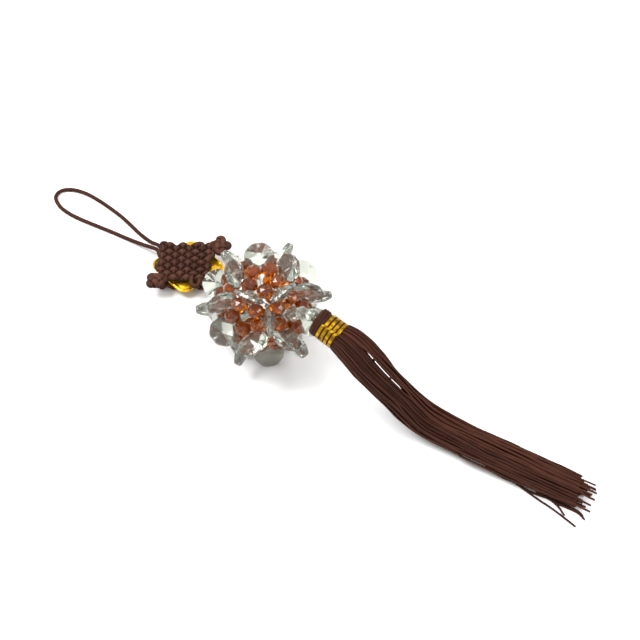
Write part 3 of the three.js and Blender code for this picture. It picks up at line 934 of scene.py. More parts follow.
# %% Places on an icosahedron
def icosahedron(tree, entry):
    ball = tree.node("GeometryNodeMeshIcoSphere", None, {"Radius": 1.0, "Subdivisions": 1})
    sockets = {"Geometry": ball, "Rotation": tree.vector_of(0.0, 0.0, entry["Turn"])}
    return tree.node("GeometryNodeTransform", None, sockets)


def kept_vector(tree, name):
    return tree.node("GeometryNodeInputNamedAttribute", {"data_type": "FLOAT_VECTOR"}, {"Name": name})


def direction(tree):
    """The way from the ball's middle to each point."""
    return tree.vector("NORMALIZE", tree.node("GeometryNodeInputPosition"))


def edge_points(tree, entry):
    """A point for each edge of the ball. It keeps the way across the edge as an attribute."""
    ends = tree.node("GeometryNodeInputMeshEdgeVertices")
    across = tree.vector("NORMALIZE", tree.vector("SUBTRACT", ends["Position 2"], ends["Position 1"]))
    ball = stored(tree, icosahedron(tree, entry), "across", "FLOAT_VECTOR", across, "EDGE")
    points = tree.node("GeometryNodeMeshToPoints", {"mode": "EDGES"}, {"Mesh": ball})
    points = stored(tree, points, "outward", "FLOAT_VECTOR", direction(tree), "POINT")
    axes = {"Primary Axis": kept_vector(tree, "outward"), "Secondary Axis": kept_vector(tree, "across")}
    rotation = tree.node("FunctionNodeAxesToRotation", {"primary_axis": "Z", "secondary_axis": "Y"}, axes)
    return points, rotation


# %% Beads on places
def wobbled(tree, entry, rotation, reach):
    """Turns each bead a little in a way of its own, as beads on a slack line lie."""
    low = tree.vector("SCALE", reach, scale=entry["Wobble"] * -1.0)
    high = tree.vector("SCALE", reach, scale=entry["Wobble"])
    sockets = {"Min": low, "Max": high, "Seed": entry["Seed"]}
    turn = tree.node("FunctionNodeRandomValue", {"data_type": "FLOAT_VECTOR"}, sockets)
    sockets = {"Rotation": rotation, "Rotate By": turn}
    return tree.node("FunctionNodeRotateRotation", {"rotation_space": "LOCAL"}, sockets)


def beads_on(tree, entry, points, place, rotation):
    """Puts the bead object on each point, with a shade of its own."""
    points = tree.node("GeometryNodeSetPosition", None, {"Geometry": points, "Position": place})
    shade = tree.node("FunctionNodeRandomValue", {"data_type": "FLOAT"}, {"Seed": entry["Seed"]})
    points = stored(tree, points, "shade", "FLOAT", shade, "POINT")
    bead = tree.node("GeometryNodeObjectInfo", None, {"Object": entry["Bead"]})["Geometry"]
    sockets = {"Points": points, "Instance": bead, "Rotation": rotation}
    return tree.node("GeometryNodeInstanceOnPoints", None, sockets)


# %% Trees for petals and amber rings
PETAL_WOBBLE = (1.0, 0.6, 1.6)  # shares of the wobble about a bead's own X, Y and Z
AMBER_WOBBLE = (0.6, 0.6, 12.0)  # a round bead turns freely on its line


def petal_tree():
    tree, entry = new_tree("petals_on_edges", BALL_INPUTS)
    points, rotation = edge_points(tree, entry)
    rotation = wobbled(tree, entry, rotation, PETAL_WOBBLE)
    out = tree.vector("SCALE", kept_vector(tree, "outward"), scale=entry["Out"])
    place = tree.vector("ADD", entry["Middle"], out)
    end_tree(tree, beads_on(tree, entry, points, place, rotation), entry["Material"])
    return tree


def ring_size(tree, entry, way):
    """The ring's radius: one ring is wider, where the tassel's string passes through."""
    likeness = tree.vector("DOT_PRODUCT", way, entry["String way"])["Value"]
    opened = likeness.maths("GREATER_THAN", SAME_WAY)
    return entry["Ring radius"] + (entry["Open ring radius"] - entry["Ring radius"]) * opened


def ring_tree():
    tree, entry = new_tree("beads_at_corners", BALL_INPUTS)
    split = tree.node("GeometryNodeSplitEdges", None, {"Mesh": icosahedron(tree, entry)})
    normal = tree.node("GeometryNodeInputNormal")
    split = stored(tree, split, "toward", "FLOAT_VECTOR", normal, "POINT")
    points = tree.node("GeometryNodeMeshToPoints", {"mode": "VERTICES"}, {"Mesh": split})
    points = stored(tree, points, "outward", "FLOAT_VECTOR", direction(tree), "POINT")
    way = kept_vector(tree, "outward")
    toward = kept_vector(tree, "toward")
    share = tree.vector("DOT_PRODUCT", toward, way)["Value"]
    flat = tree.vector("SUBTRACT", toward, tree.vector("SCALE", way, scale=share))
    corner = tree.vector("NORMALIZE", flat)
    out = tree.vector("SCALE", way, scale=entry["Out"])
    aside = tree.vector("SCALE", corner, scale=ring_size(tree, entry, way))
    place = tree.vector("ADD", entry["Middle"], tree.vector("ADD", out, aside))
    axes = {"Primary Axis": tree.vector("CROSS_PRODUCT", way, corner), "Secondary Axis": corner}
    rotation = tree.node("FunctionNodeAxesToRotation", {"primary_axis": "Z", "secondary_axis": "X"}, axes)
    rotation = wobbled(tree, entry, rotation, AMBER_WOBBLE)
    end_tree(tree, beads_on(tree, entry, points, place, rotation), entry["Material"])
    return tree


# %% [markdown]
# ## Glass
# The petals are clear with a faint grey-green cast, as pressed crystal has. The round beads are a warm
# amber. A glossy opaque finish would render faster, but it would hide what lies behind each bead. Both are
# real refracting glass: the shape does the work, so each bead has true flat facets, a thin rim and drilled
# holes. A small change of tint from bead to bead keeps the ball from looking printed.

# %% Glass finishes
def glass_finish(name, pale, deep, roughness, transmission):
    constants = {"Transmission Weight": transmission, "IOR": 1.52}
    material, tree, shader = bare_material(name, constants)
    shade = attribute(tree, "shade", "Fac")
    place = tree.node("ShaderNodeTexCoord")["Object"]
    cloud = tree.node("ShaderNodeTexNoise", None, {"Vector": place, "Scale": 220.0, "Detail": 2.0})
    feed(tree, shader, "Base Color", tree.mix(shade * 0.6 + cloud * 0.4, pale, deep))
    feed(tree, shader, "Roughness", cloud * 0.04 + roughness)
    return material


clear_glass = glass_finish("clear_glass", srgb(214, 219, 209), srgb(184, 185, 174), 0.01, 0.95)
amber_glass = glass_finish("amber_glass", srgb(204, 108, 12), srgb(132, 60, 6), 0.03, 0.86)
nylon = glass_finish("nylon_line", srgb(244, 244, 240), srgb(226, 228, 224), 0.12, 0.8)
print("made", clear_glass.name, amber_glass.name, "and", nylon.name)


# %% Bead shapes
def faceted(name, build):
    """An object with flat faces, built in a bmesh by a function."""
    shape = bmesh.new()
    build(shape)
    bmesh.ops.recalc_face_normals(shape, faces=shape.faces)
    mesh = bpy.data.meshes.new(name)
    shape.to_mesh(mesh)
    shape.free()
    bead = bpy.data.objects.new(name, mesh)
    bpy.context.scene.collection.objects.link(bead)
    print(name, "is cut with", len(mesh.polygons), "faces")
    return bead


# %% Petal shape
PETAL_FLATS = 14 * MM  # across two opposite sides
PETAL_RIM = 1.4 * MM
PETAL_THICK = 7 * MM
PETAL_SIDE = math.radians(16)  # half the angle that a side takes up; a cut corner has the rest
HOLE_RADIUS = 0.6 * MM


def petal_shape(shape):
    """Eight sides, their corners cut, a thin rim, and a point on both faces. Z points out of the ball."""
    corner = PETAL_FLATS / 2 / math.cos(PETAL_SIDE)
    angles = [math.pi / 4 * k + side * PETAL_SIDE for k in range(8) for side in (-1, 1)]
    rims = []
    for side in (-1, 1):
        y = side * PETAL_RIM / 2
        rims.append([shape.verts.new((corner * math.cos(a), y, corner * math.sin(a))) for a in angles])
    points = [shape.verts.new((0, side * PETAL_THICK / 2, 0)) for side in (-1, 1)]
    for k in range(len(angles)):
        after = (k + 1) % len(angles)
        shape.faces.new((rims[0][k], rims[0][after], rims[1][after], rims[1][k]))
        shape.faces.new((rims[0][k], rims[0][after], points[0]))
        shape.faces.new((rims[1][k], rims[1][after], points[1]))


def drill_shape(shape):
    """Two thin rods along Y, at the places of a petal's holes."""
    for side in (-1, 1):
        place = Matrix.Translation((0, 0, side * PETAL_HOLE)) @ Matrix.Rotation(math.pi / 2, 4, "X")
        sizes = {"segments": 10, "radius1": HOLE_RADIUS, "radius2": HOLE_RADIUS, "depth": PETAL_THICK}
        bmesh.ops.create_cone(shape, cap_ends=True, matrix=place, **sizes)


def drilled(bead, drill):
    """Cuts the drill out of the bead and throws it away."""
    cut = bead.modifiers.new("holes", "BOOLEAN")
    cut.operation = "DIFFERENCE"
    cut.solver = "EXACT"
    cut.object = drill
    mesh = bpy.data.meshes.new_from_object(bead.evaluated_get(bpy.context.evaluated_depsgraph_get()))
    bead.modifiers.remove(cut)
    bead.data = mesh
    bpy.data.objects.remove(drill)
    return bead


# %% Round bead shape
BEAD_ROWS = [
    (-1.0, 0.40, 0),
    (-0.66, 0.82, 0.5),
    (0.0, 1.0, 0),
    (0.66, 0.82, 0.5),
    (1.0, 0.40, 0),
]  # height and width as shares of the bead's, and by how much of a facet a row is turned


def round_bead(name, radius, half_length, hole, sides):
    """A fire-polished bead: staggered rows of three-sided facets, with its hole along Z."""

    def build(shape):
        rings = []
        for height, width, turn in BEAD_ROWS:
            rings.append(ring_of(shape, width * radius, height * half_length, sides, turn))
        low = ring_of(shape, hole, -half_length, sides, 0)
        high = ring_of(shape, hole, half_length, sides, 0)
        for number, (lower, upper) in enumerate(zip(rings, rings[1:])):
            for k in range(sides):
                after = (k + 1) % sides
                if number % 2:
                    shape.faces.new((lower[k], lower[after], upper[after]))
                    shape.faces.new((lower[k], upper[after], upper[k]))
                else:
                    shape.faces.new((lower[k], lower[after], upper[k]))
                    shape.faces.new((lower[after], upper[after], upper[k]))
        for k in range(sides):
            after = (k + 1) % sides
            shape.faces.new((rings[0][k], rings[0][after], low[after], low[k]))
            shape.faces.new((rings[-1][k], rings[-1][after], high[after], high[k]))
            shape.faces.new((low[k], low[after], high[after], high[k]))

    return faceted(name, build)


def ring_of(shape, radius, height, sides, turn):
    angles = [2 * math.pi * (k + turn) / sides for k in range(sides)]
    return [shape.verts.new((radius * math.cos(a), radius * math.sin(a), height)) for a in angles]


# %% Petals and amber rings
def make_petals():
    petal = drilled(faceted("petal", petal_shape), faceted("drill", drill_shape))
    values = {"Out": PETAL_OUT, "Bead": petal, "Wobble": math.radians(1.6), "Seed": 4}
    piece = grown("petals", petal_tree(), {**BALL_VALUES, **values, "Material": clear_glass})
    settle(piece)
    bpy.data.objects.remove(petal)
    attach(piece, "root")
    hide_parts(*[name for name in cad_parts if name.startswith("petal_")])


def make_rings():
    bead = round_bead("amber", 3.9 * MM, 3.5 * MM, 0.55 * MM, 9)
    values = {"Bead": bead, "Wobble": math.radians(3), "Seed": 9}
    piece = grown("amber_beads", ring_tree(), {**BALL_VALUES, **values, "Material": amber_glass})
    settle(piece)
    bpy.data.objects.remove(bead)
    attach(piece, "root")
    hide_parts(*[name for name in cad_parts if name.startswith("ring_")])


make_petals()
make_rings()

# %% [markdown]
# ## Nylon line
# What holds the beads is a line so thin that it shows only as a glint: a five-sided turn through each ring
# of amber beads, and a short bow through each petal's lower hole that ties two neighbouring rings together.
# It could be left out, but then beads would float where light shines through the ball. The line uses the
# places of the beads again, so it always goes through their holes.

# %% Nylon line
LINE_RADIUS = 0.2 * MM
EDGE_TILT = math.acos(math.sqrt((1 + 1 / math.sqrt(5)) / 2))  # from a face's middle to its edge's
TO_CORNER = 1 / math.cos(math.pi / 5)  # a five-sided ring's corner, against the middle of its side
BOW_START = 0.95  # where a bow leaves its ring, as a share of the way to the ring's corner
LINE_INPUTS = {**BALL_INPUTS, "Line radius": "Float", "Bow": "Vector", "Dip": "Float"}


def line_tree():
    tree, entry = new_tree("nylon_line", LINE_INPUTS)
    number = tree.node("GeometryNodeEdgesOfVertex")["Edge Index"]
    middle = {"Value": tree.node("GeometryNodeInputPosition"), "Index": number}
    settings = {"domain": "EDGE", "data_type": "FLOAT_VECTOR"}
    toward = tree.node("GeometryNodeFieldAtIndex", settings, middle)
    ball = stored(tree, icosahedron(tree, entry), "toward", "FLOAT_VECTOR", toward, "POINT")
    points = tree.node("GeometryNodeMeshToPoints", {"mode": "VERTICES"}, {"Mesh": ball})
    points = stored(tree, points, "outward", "FLOAT_VECTOR", direction(tree), "POINT")
    way = kept_vector(tree, "outward")
    axes = {"Primary Axis": way, "Secondary Axis": kept_vector(tree, "toward")}
    rotation = tree.node("FunctionNodeAxesToRotation", {"primary_axis": "Z", "secondary_axis": "X"}, axes)
    scale = ring_size(tree, entry, way) * TO_CORNER
    points = stored(tree, points, "ring_size", "FLOAT", scale, "POINT")
    out = tree.vector("SCALE", way, scale=entry["Out"])
    sockets = {"Geometry": points, "Position": tree.vector("ADD", entry["Middle"], out)}
    points = tree.node("GeometryNodeSetPosition", None, sockets)
    ring = tree.node("GeometryNodeCurvePrimitiveCircle", None, {"Resolution": 5, "Radius": 1.0})
    ring = tree.node("GeometryNodeFilletCurve", {"mode": "POLY"}, {"Curve": ring, "Count": 4, "Radius": 0.2})
    size = tree.node("GeometryNodeInputNamedAttribute", {"data_type": "FLOAT"}, {"Name": "ring_size"})
    sockets = {"Points": points, "Instance": ring, "Rotation": rotation}
    sockets["Scale"] = tree.vector_of(size, size, size)
    rings = tree.node("GeometryNodeInstanceOnPoints", None, sockets)
    bows = petal_bows(tree, entry)
    joined = tree.node("GeometryNodeJoinGeometry")
    for lines in (rings, bows):
        tree.graph.links.new(lines.socket, joined.socket.node.inputs["Geometry"])
    real = tree.node("GeometryNodeRealizeInstances", None, {"Geometry": joined})
    sockets = {"Resolution": 6, "Radius": entry["Line radius"]}
    section = tree.node("GeometryNodeCurvePrimitiveCircle", None, sockets)
    end_swept(tree, entry, real, section)
    return tree


# %% Bows through the petals, and the whole line
def petal_bows(tree, entry):
    """A short bow of line for each edge, from one ring to the next through the petal's lower hole."""
    points, rotation = edge_points(tree, entry)
    points = tree.node("GeometryNodeSetPosition", None, {"Geometry": points, "Position": entry["Middle"]})
    ends = {"Start": tree.vector("MULTIPLY", entry["Bow"], (1, -1, 1)), "End": entry["Bow"]}
    sockets = {"Resolution": 8, **ends, "Middle": tree.vector_of(0.0, 0.0, entry["Dip"])}
    bow = tree.node("GeometryNodeCurveQuadraticBezier", None, sockets)
    sockets = {"Points": points, "Instance": bow, "Rotation": rotation}
    return tree.node("GeometryNodeInstanceOnPoints", None, sockets)


def make_line():
    corner = RING_RADIUS * TO_CORNER * BOW_START
    sideways = RING_OUT * math.sin(EDGE_TILT) - corner * math.cos(EDGE_TILT)
    outward = RING_OUT * math.cos(EDGE_TILT) + corner * math.sin(EDGE_TILT)
    hole = PETAL_OUT - PETAL_HOLE
    bow = {"Bow": Vector((0, sideways, outward)), "Dip": 2 * hole - outward}
    values = {**BALL_VALUES, **bow, "Line radius": LINE_RADIUS, "Material": nylon}
    piece = grown("bead_line", line_tree(), values)
    settle(piece)
    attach(piece, "root")


make_line()

# %% [markdown]
# ## The link between knot and ball
# Two cords laid round each other leave the knot's near corner and dive into the ball, where a stopper knot
# holds them. The tree that swept the loop makes them too, with two strands on one route, so they wind round
# each other without a route for each. The stopper is the same clover as the ears, closed up tight.

# %% Link
LINK_RADIUS = 1.3 * MM
LINK_ROUTE = [
    (-91.5, 6.8, 7.5),
    (-88.6, 6.2, 7.6),
    (-86.9, 5.8, 7.4),
    (-84.0, 5.2, 8.1),
    (-79.0, 4.1, 11.2),
    (-73.0, 2.9, 15.4),
    (-67.0, 1.9, 18.5),
    (-63.0, 1.3, 20.5),
]
STOPPER_OUT = 15.9 * MM
STOPPER_SHARE = 0.6  # of an ear's size
STOPPER_LENGTH = 4.4 * MM


def make_link():
    route = smoothed([Vector(point) * MM for point in LINK_ROUTE], 1.0 * MM)
    strands = {"strands": 2, "lay": 7 * MM, "step": 0.5 * MM, "sides": 10}
    piece = cords("link_twist", [route], brown_cord, LINK_RADIUS, seed=7, **strands)
    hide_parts("link_cord")
    turn = (-STRING_WAY).to_track_quat("Z", "Y").to_matrix().to_4x4()
    middle = Matrix.Translation(BALL_MIDDLE - STRING_WAY * STOPPER_OUT)
    place = middle @ turn @ Matrix.Scale(STOPPER_SHARE, 4)
    rings = [clover_ring(STOPPER_LENGTH), turned_quarter(clover_ring(STOPPER_LENGTH))]
    routes = [[place @ point for point in ring] for ring in rings]
    radius = CORD_RADIUS * STOPPER_SHARE
    stopper = cords("link_stopper", routes, brown_cord, radius, step=0.3 * MM, sides=8)


make_link()

# %% [markdown]
# ## The neck
# Three clear round beads sit on the line between the ball and the tassel's head, a large one and two small.
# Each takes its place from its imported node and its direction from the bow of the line. They could be plain
# spheres, which would hardly sparkle, so they are cut like the amber beads, with more and smaller facets.

# %% Neck
HEAD_PLACE = Vector((-14.5, -6.3, 43.9)) * MM
NECK_START = 22.1 * MM
NECK_BEND = Vector((-18.5, -5, 47)) * MM
NECK_RADII = {"neck_bead_1": 3.7 * MM, "neck_bead_2": 3.1 * MM, "neck_bead_3": 3.1 * MM}
NECK_FACETS = 14
NECK_STEPS = 50


def neck_point(t):
    """The line's bow from the ball to the head: t runs from 0 to 1."""
    start = settled(BALL_MIDDLE + STRING_WAY * NECK_START)
    return start * (1 - t) ** 2 + NECK_BEND * (2 * t * (1 - t)) + HEAD_PLACE * t * t


def make_neck():
    for name, radius in NECK_RADII.items():
        low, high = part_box(name)
        middle = (Vector(low) + Vector(high)) / 2
        shares = [k / NECK_STEPS for k in range(NECK_STEPS)]
        t = min(shares, key=lambda share: (neck_point(share) - middle).length)
        way = neck_point(t + 1 / NECK_STEPS) - neck_point(t - 1 / NECK_STEPS)
        bead = round_bead(name + "_cut", radius, radius * 0.97, radius * 0.16, NECK_FACETS)
        bead.data.transform(Matrix.Translation(middle) @ way.to_track_quat("Z", "Y").to_matrix().to_4x4())
        bead.data.materials.append(clear_glass)
        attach(bead, "root")
        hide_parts(name)
    start = BALL_MIDDLE - STRING_WAY * (STOPPER_OUT - 2 * MM)
    inside = [start.lerp(neck_point(0), k / 20) for k in range(20)]
    route = inside + [neck_point(k / 20) for k in range(21)]
    line = cords("neck_line", [route], nylon, 0.35 * MM, sides=8, strands=2, lay=3 * MM)


make_neck()

# %% [markdown]
# ## The tassel's head
# The strings are folded over a core, and their tops are wound with a twisted cord that closes the head in a
# low dome, open in the middle, where the last neck bead sinks in. Below it a band of gold thread is wound
# four times round, three threads wide, with a thin brown cord between the turns. A striped texture on a drum
# would look much the same from the front, but not at the outline, so each winding is a cord on a route. The
# winding doesn't climb evenly: it steps by half a turn's width at the front and again at the back, which
# gives the broken, brick-like rows of the photograph.

# %% Head's sizes and axes
HEAD_TURN = math.radians(1.7)
HEAD_DROP = math.radians(14.6)
HEAD_WAY = Vector((math.cos(HEAD_TURN), math.sin(HEAD_TURN), -math.tan(HEAD_DROP))).normalized()
HEAD_RADIUS = 6.75 * MM
BULGE_SIDE = Vector((0.0879, 0.84876, 0.51883))  # the side on which the cap stands out most
BEAD_SUNK = 1.0 * MM  # how far the last neck bead sinks into the middle of the cap
CAP_LENGTH = 3.8 * MM
BAND_LENGTH = 8.8 * MM
CAP_CORD = 0.62 * MM
CAP_OPENING = 2.8 * MM  # radius of the cap's first turn, round the bead
CAP_SHOULDER = 1.3 * MM
CAP_CROWN = 0.5 * MM  # how much higher the rim of the cap's top is than its middle
CAP_OVERLAP = 0.55 * MM  # how far the cap's last turns go down beside the band
CAP_BULGE = 0.6 * MM
CAP_STEP = 0.35 * MM  # between points of the cap's route
WINDINGS = 4
WINDING_PITCH = BAND_LENGTH / WINDINGS
WINDING_STEPS = 90  # in a turn
STEP_SHARE = 0.06  # of a half turn, in which the winding steps
GOLD_THREAD = 0.25 * MM  # radius
GOLD_THREADS = 3
GOLD_RADIUS = 6.5 * MM  # of the band
FILLER_THREAD = 0.36 * MM
FILLER_RADIUS = 6.28 * MM
CORE_OUTLINE = [
    (0.0, 1.6),
    (2.4, 1.4),
    (4.4, 1.3),
    (5.4, 2.0),
    (6.15, 3.0),
    (6.15, 12.0),
    (5.2, 12.6),
    (0.0, 12.6),
]  # radius and height, mm


def head_axes():
    """The head's own axes: Z along it, X towards the side where its cap bulges."""
    x = (BULGE_SIDE - HEAD_WAY * BULGE_SIDE.dot(HEAD_WAY)).normalized()
    axes = Matrix((x, HEAD_WAY.cross(x), HEAD_WAY)).transposed()
    return Matrix.Translation(HEAD_PLACE - HEAD_WAY * BEAD_SUNK) @ axes.to_4x4()


HEAD_AXES = head_axes()
print("the head drops by", round(math.degrees(math.asin(-HEAD_WAY.z)), 1), "degrees")


# %% Routes of the cap and the band
def dome(distance):
    """Radius and height of the cap's cord, at a distance from its middle along the cap."""
    flat = HEAD_RADIUS - CAP_CORD - CAP_SHOULDER
    if distance < flat:
        return distance, CAP_CORD + CAP_CROWN * (distance / flat) ** 2
    turn = min((distance - flat) / CAP_SHOULDER, math.pi / 2)
    straight = max(0.0, distance - flat - CAP_SHOULDER * math.pi / 2)
    height = CAP_CORD + CAP_CROWN + CAP_SHOULDER * (1 - math.cos(turn)) + straight
    return flat + CAP_SHOULDER * math.sin(turn), height


def cap_route():
    """A spiral over the cap, with a bulge on the side of X."""
    row = 1.9 * CAP_CORD
    distance = CAP_OPENING
    angle = 0.0
    points = []
    while dome(distance)[1] < CAP_LENGTH + CAP_OVERLAP:
        radius, height = dome(distance)
        bulge = CAP_BULGE * max(0.0, math.cos(angle)) ** 4 * (radius / HEAD_RADIUS) ** 2
        points.append(Vector((radius * math.cos(angle), radius * math.sin(angle), height - bulge)))
        step = CAP_STEP / radius
        angle += step
        distance += row * step / (2 * math.pi)
    return points


def band_route(offset, radius, turns):
    """A winding that steps by half a pitch at the front and half at the back."""
    points = []
    count = round(turns * WINDING_STEPS)
    for k in range(count + 1):
        angle = turns * 2 * math.pi * k / count + math.pi / 2
        halves, share = divmod(angle / math.pi, 1)
        eased = min(1.0, max(0.0, (share - 0.5) / STEP_SHARE + 0.5))
        steps = halves + eased * eased * (3 - 2 * eased)
        height = CAP_LENGTH + offset + WINDING_PITCH * (steps / 2 - 0.25)
        points.append(Vector((radius * math.cos(angle), -radius * math.sin(angle), height)))
    return points


# %% Gold thread finish
def gold_thread_finish():
    """Metal foil twisted round a thread: bright and dark stretches follow each other along it, painted into
    its colour as painted glints and, at the seams between them, painted shade.
    """
    material, tree, shader = bare_material("gold_thread", {"Metallic": 1.0})
    along = attribute(tree, "along", "Fac")
    place = tree.node("ShaderNodeTexCoord")["Object"]
    patches = tree.node("ShaderNodeTexNoise", None, {"Vector": place, "Scale": 520.0, "Detail": 2.0})
    # Painted light: the colour goes dark at the seams, as painted shade, and bright in patches between them,
    # as painted glints.
    seams = (along * (2 * math.pi / (3.4 * MM)) + patches * 9.0).sine() * 0.5 + 0.5
    bright = (patches * 1.5 - 0.45 + seams * 0.5).at_most(1.0).at_least(0.0)
    feed(tree, shader, "Base Color", tree.mix(bright, srgb(92, 56, 10), srgb(230, 184, 36)))
    feed(tree, shader, "Roughness", 0.42 - bright * 0.16)
    bump = tree.node("ShaderNodeBump", None, {"Height": patches, "Distance": 0.2 * MM, "Strength": 1.0})
    feed(tree, shader, "Normal", bump)
    return material


# %% Make the head
def in_head(route):
    return [HEAD_AXES @ point for point in route]


def make_head():
    outline = [(radius * MM, height * MM) for radius, height in CORE_OUTLINE]
    core = spun("head_core", outline, 48, brown_string, HEAD_AXES)
    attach(core, "root")
    twist = {"strands": 2, "lay": 2.4 * MM, "step": 0.3 * MM, "sides": 7}
    cap = cords("head_winding", [in_head(cap_route())], knot_cord, CAP_CORD, seed=11, **twist)
    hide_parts("tassel_head")
    gold = gold_thread_finish()
    first = WINDING_PITCH / 2
    places = [first + (k - 1) * GOLD_THREAD * 1.85 for k in range(GOLD_THREADS)]
    threads = [in_head(band_route(place, GOLD_RADIUS, WINDINGS)) for place in places]
    band = cords("gold_windings", threads, gold, GOLD_THREAD, step=0.4 * MM, sides=8, rounded=0.3 * MM)
    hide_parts("gold_band")
    between = in_head(band_route(first + WINDING_PITCH / 2, FILLER_RADIUS, WINDINGS - 0.5))
    thin = {"step": 0.4 * MM, "sides": 8, "seed": 13}
    filler = cords("band_filler", [between], brown_string, FILLER_THREAD, **thin)


make_head()

# %% [markdown]
# ## The skirt
# About 140 fine cords hang from the head. They leave the band, bend down to the table and lie along it in a
# flat bundle, with cut ends that don't line up. Hair curves could be combed into this shape by hand, but a
# tree can be repeated and changed. One makes all the cords from a guide line down the middle of the bundle.
# Each cord has a fixed place in a disc. The disc is spread over the bundle's width and depth as it travels,
# and noise lets cords drift past their neighbours. In two places the bundle has split, and the table shows
# through a narrow slit. Four strings have slipped out and lie beside the rest.

# %% Skirt guide
STRING_RADIUS = 0.5 * MM
STRINGS = 140
STRING_POINTS = 92
SHORT_ENDS = 6  # the higher this power, the more strings end early
SKIRT_GUIDE = [
    (-4.3, -5.95, 41.3, 6.1, 6.1),
    (-1.0, -5.9, 40.4, 7.4, 7.2),
    (3.0, -5.7, 39.1, 8.2, 7.9),
    (8.5, -5.8, 36.5, 8.7, 8.1),
    (13.5, -6.1, 33.0, 8.9, 8.0),
    (18.3, -5.8, 28.9, 8.9, 7.7),
    (23.3, -4.8, 24.0, 8.8, 7.2),
    (28.3, -3.4, 18.9, 8.7, 6.5),
    (33.5, -1.9, 13.8, 8.8, 6.1),
    (39.1, -0.6, 9.3, 8.9, 5.6),
    (44.3, 0.2, 7.2, 9.0, 5.2),
    (49.5, 1.1, 5.9, 9.1, 5.0),
    (59.5, 2.3, 4.9, 9.4, 4.8),
    (74.5, 3.9, 4.7, 9.5, 4.6),
    (89.5, 5.4, 4.6, 9.4, 4.4),
    (104.0, 7.2, 4.3, 9.0, 4.1),
    (115.0, 8.9, 3.8, 8.7, 3.6),
    (126.4, 10.6, 3.3, 8.9, 3.2),
]  # middle, half width and half depth of the bundle, mm


def guide_mesh():
    """The guide as a chain of edges, with the bundle's half width and depth on its points."""
    line = smoothed([Vector(row[:3]) * MM for row in SKIRT_GUIDE], 2 * MM)
    sizes = [Vector((half, deep, 0)) * MM for *_, half, deep in SKIRT_GUIDE]
    mesh = polylines("guide", [line])
    spread = mesh.attributes.new("spread", "FLOAT_VECTOR", "POINT")
    for number, point in enumerate(line):
        spans = [(*span_place(point, k), k) for k in range(len(SKIRT_GUIDE) - 1)]
        _, share, k = min(spans)
        spread.data[number].vector = sizes[k].lerp(sizes[k + 1], share)
    return mesh


def span_place(point, k):
    """How far a point lies from the span after guide row k, and where along it, from 0 to 1."""
    start, end = Vector(SKIRT_GUIDE[k][:3]) * MM, Vector(SKIRT_GUIDE[k + 1][:3]) * MM
    share = min(1.0, max(0.0, (point - start).dot(end - start) / (end - start).length_squared))
    return (start.lerp(end, share) - point).length, share


GUIDE_LENGTH = length_of([Vector(row[:3]) for row in SKIRT_GUIDE])
print("the guide is", round(GUIDE_LENGTH), "mm long")


# %% Skirt tree
LOOSENING = 5.0  # strings are free to drift after one part in this many of their length


def skirt_tree():
    inputs = {
        "Strings": "Int",
        "Points": "Int",
        "String radius": "Float",
        "Ragged": "Float",
        "Slant": "Float",
        "Drift": "Float",
        "Clump": "Float",
        "Slit": "Float",
        "Seed": "Int",
        "Material": "Material",
    }
    tree, entry = new_tree("skirt_strings", inputs)
    guide = tree.node("GeometryNodeMeshToCurve", None, {"Mesh": entry})
    strings = strings_in_disc(tree, entry)
    a, b, along = tree.parts_of(tree.node("GeometryNodeInputPosition"))
    string = tree.node("GeometryNodeCurveOfPoint")["Curve Index"]
    chance = {"ID": string, "Seed": entry["Seed"]}
    own = tree.node("FunctionNodeRandomValue", {"data_type": "FLOAT"}, {**chance, "Min": 0.0, "Max": 1.0})
    share = along * (1.0 - entry["Ragged"] * (1.0 - own**SHORT_ENDS) - entry["Slant"] * (a + 1.0))
    sockets = {"Curves": guide, "Value": kept_vector(tree, "spread"), "Factor": share}
    settings = {"mode": "FACTOR", "data_type": "FLOAT_VECTOR"}
    sample = tree.node("GeometryNodeSampleCurve", settings, sockets)
    half, deep, _ = tree.parts_of(sample["Value"])
    tangent = sample["Tangent"]
    aside = tree.vector("NORMALIZE", tree.vector("CROSS_PRODUCT", (0, 0, 1), tangent))
    above = tree.vector("CROSS_PRODUCT", tangent, aside)
    loose = (share * LOOSENING).at_most(1.0)
    drift_x, drift_y = drifts(tree, entry, own, a, b, share)
    radius = entry["String radius"]
    wide = (half - radius) * a + drift_x * loose
    high = (deep - radius) * b + drift_y * loose
    for slit in SLITS:
        base = (half * a, deep * b, half)
        push_x, push_y = slit_shift(entry, base, (wide, high), share, slit)
        wide = wide + push_x
        high = high + push_y
    across = tree.vector("SCALE", aside, scale=wide)
    upward = tree.vector("SCALE", above, scale=high)
    place = tree.vector("ADD", sample["Position"], tree.vector("ADD", across, upward))
    x, y, z = tree.parts_of(place)
    place = tree.vector_of(x, y, z.at_least(radius * 1.02))  # no string goes into the table
    strings = tree.node("GeometryNodeSetPosition", None, {"Geometry": strings, "Position": place})
    strings = stored(tree, strings, "shade", "FLOAT", own, "POINT")
    length = tree.node("GeometryNodeSplineParameter")["Length"]
    strings = stored(tree, strings, "along", "FLOAT", length, "POINT")
    section = tree.node("GeometryNodeCurvePrimitiveCircle", None, {"Resolution": 6, "Radius": radius})
    rim = tree.vector("NORMALIZE", tree.node("GeometryNodeInputPosition"))
    section = stored(tree, section, "rim", "FLOAT_VECTOR", rim, "POINT")
    end_swept(tree, entry, strings, section)
    return tree


# %% Where each string starts and how it drifts
GOLDEN_ANGLE = 2.39996  # radians, the turn from one seed of a sunflower to the next


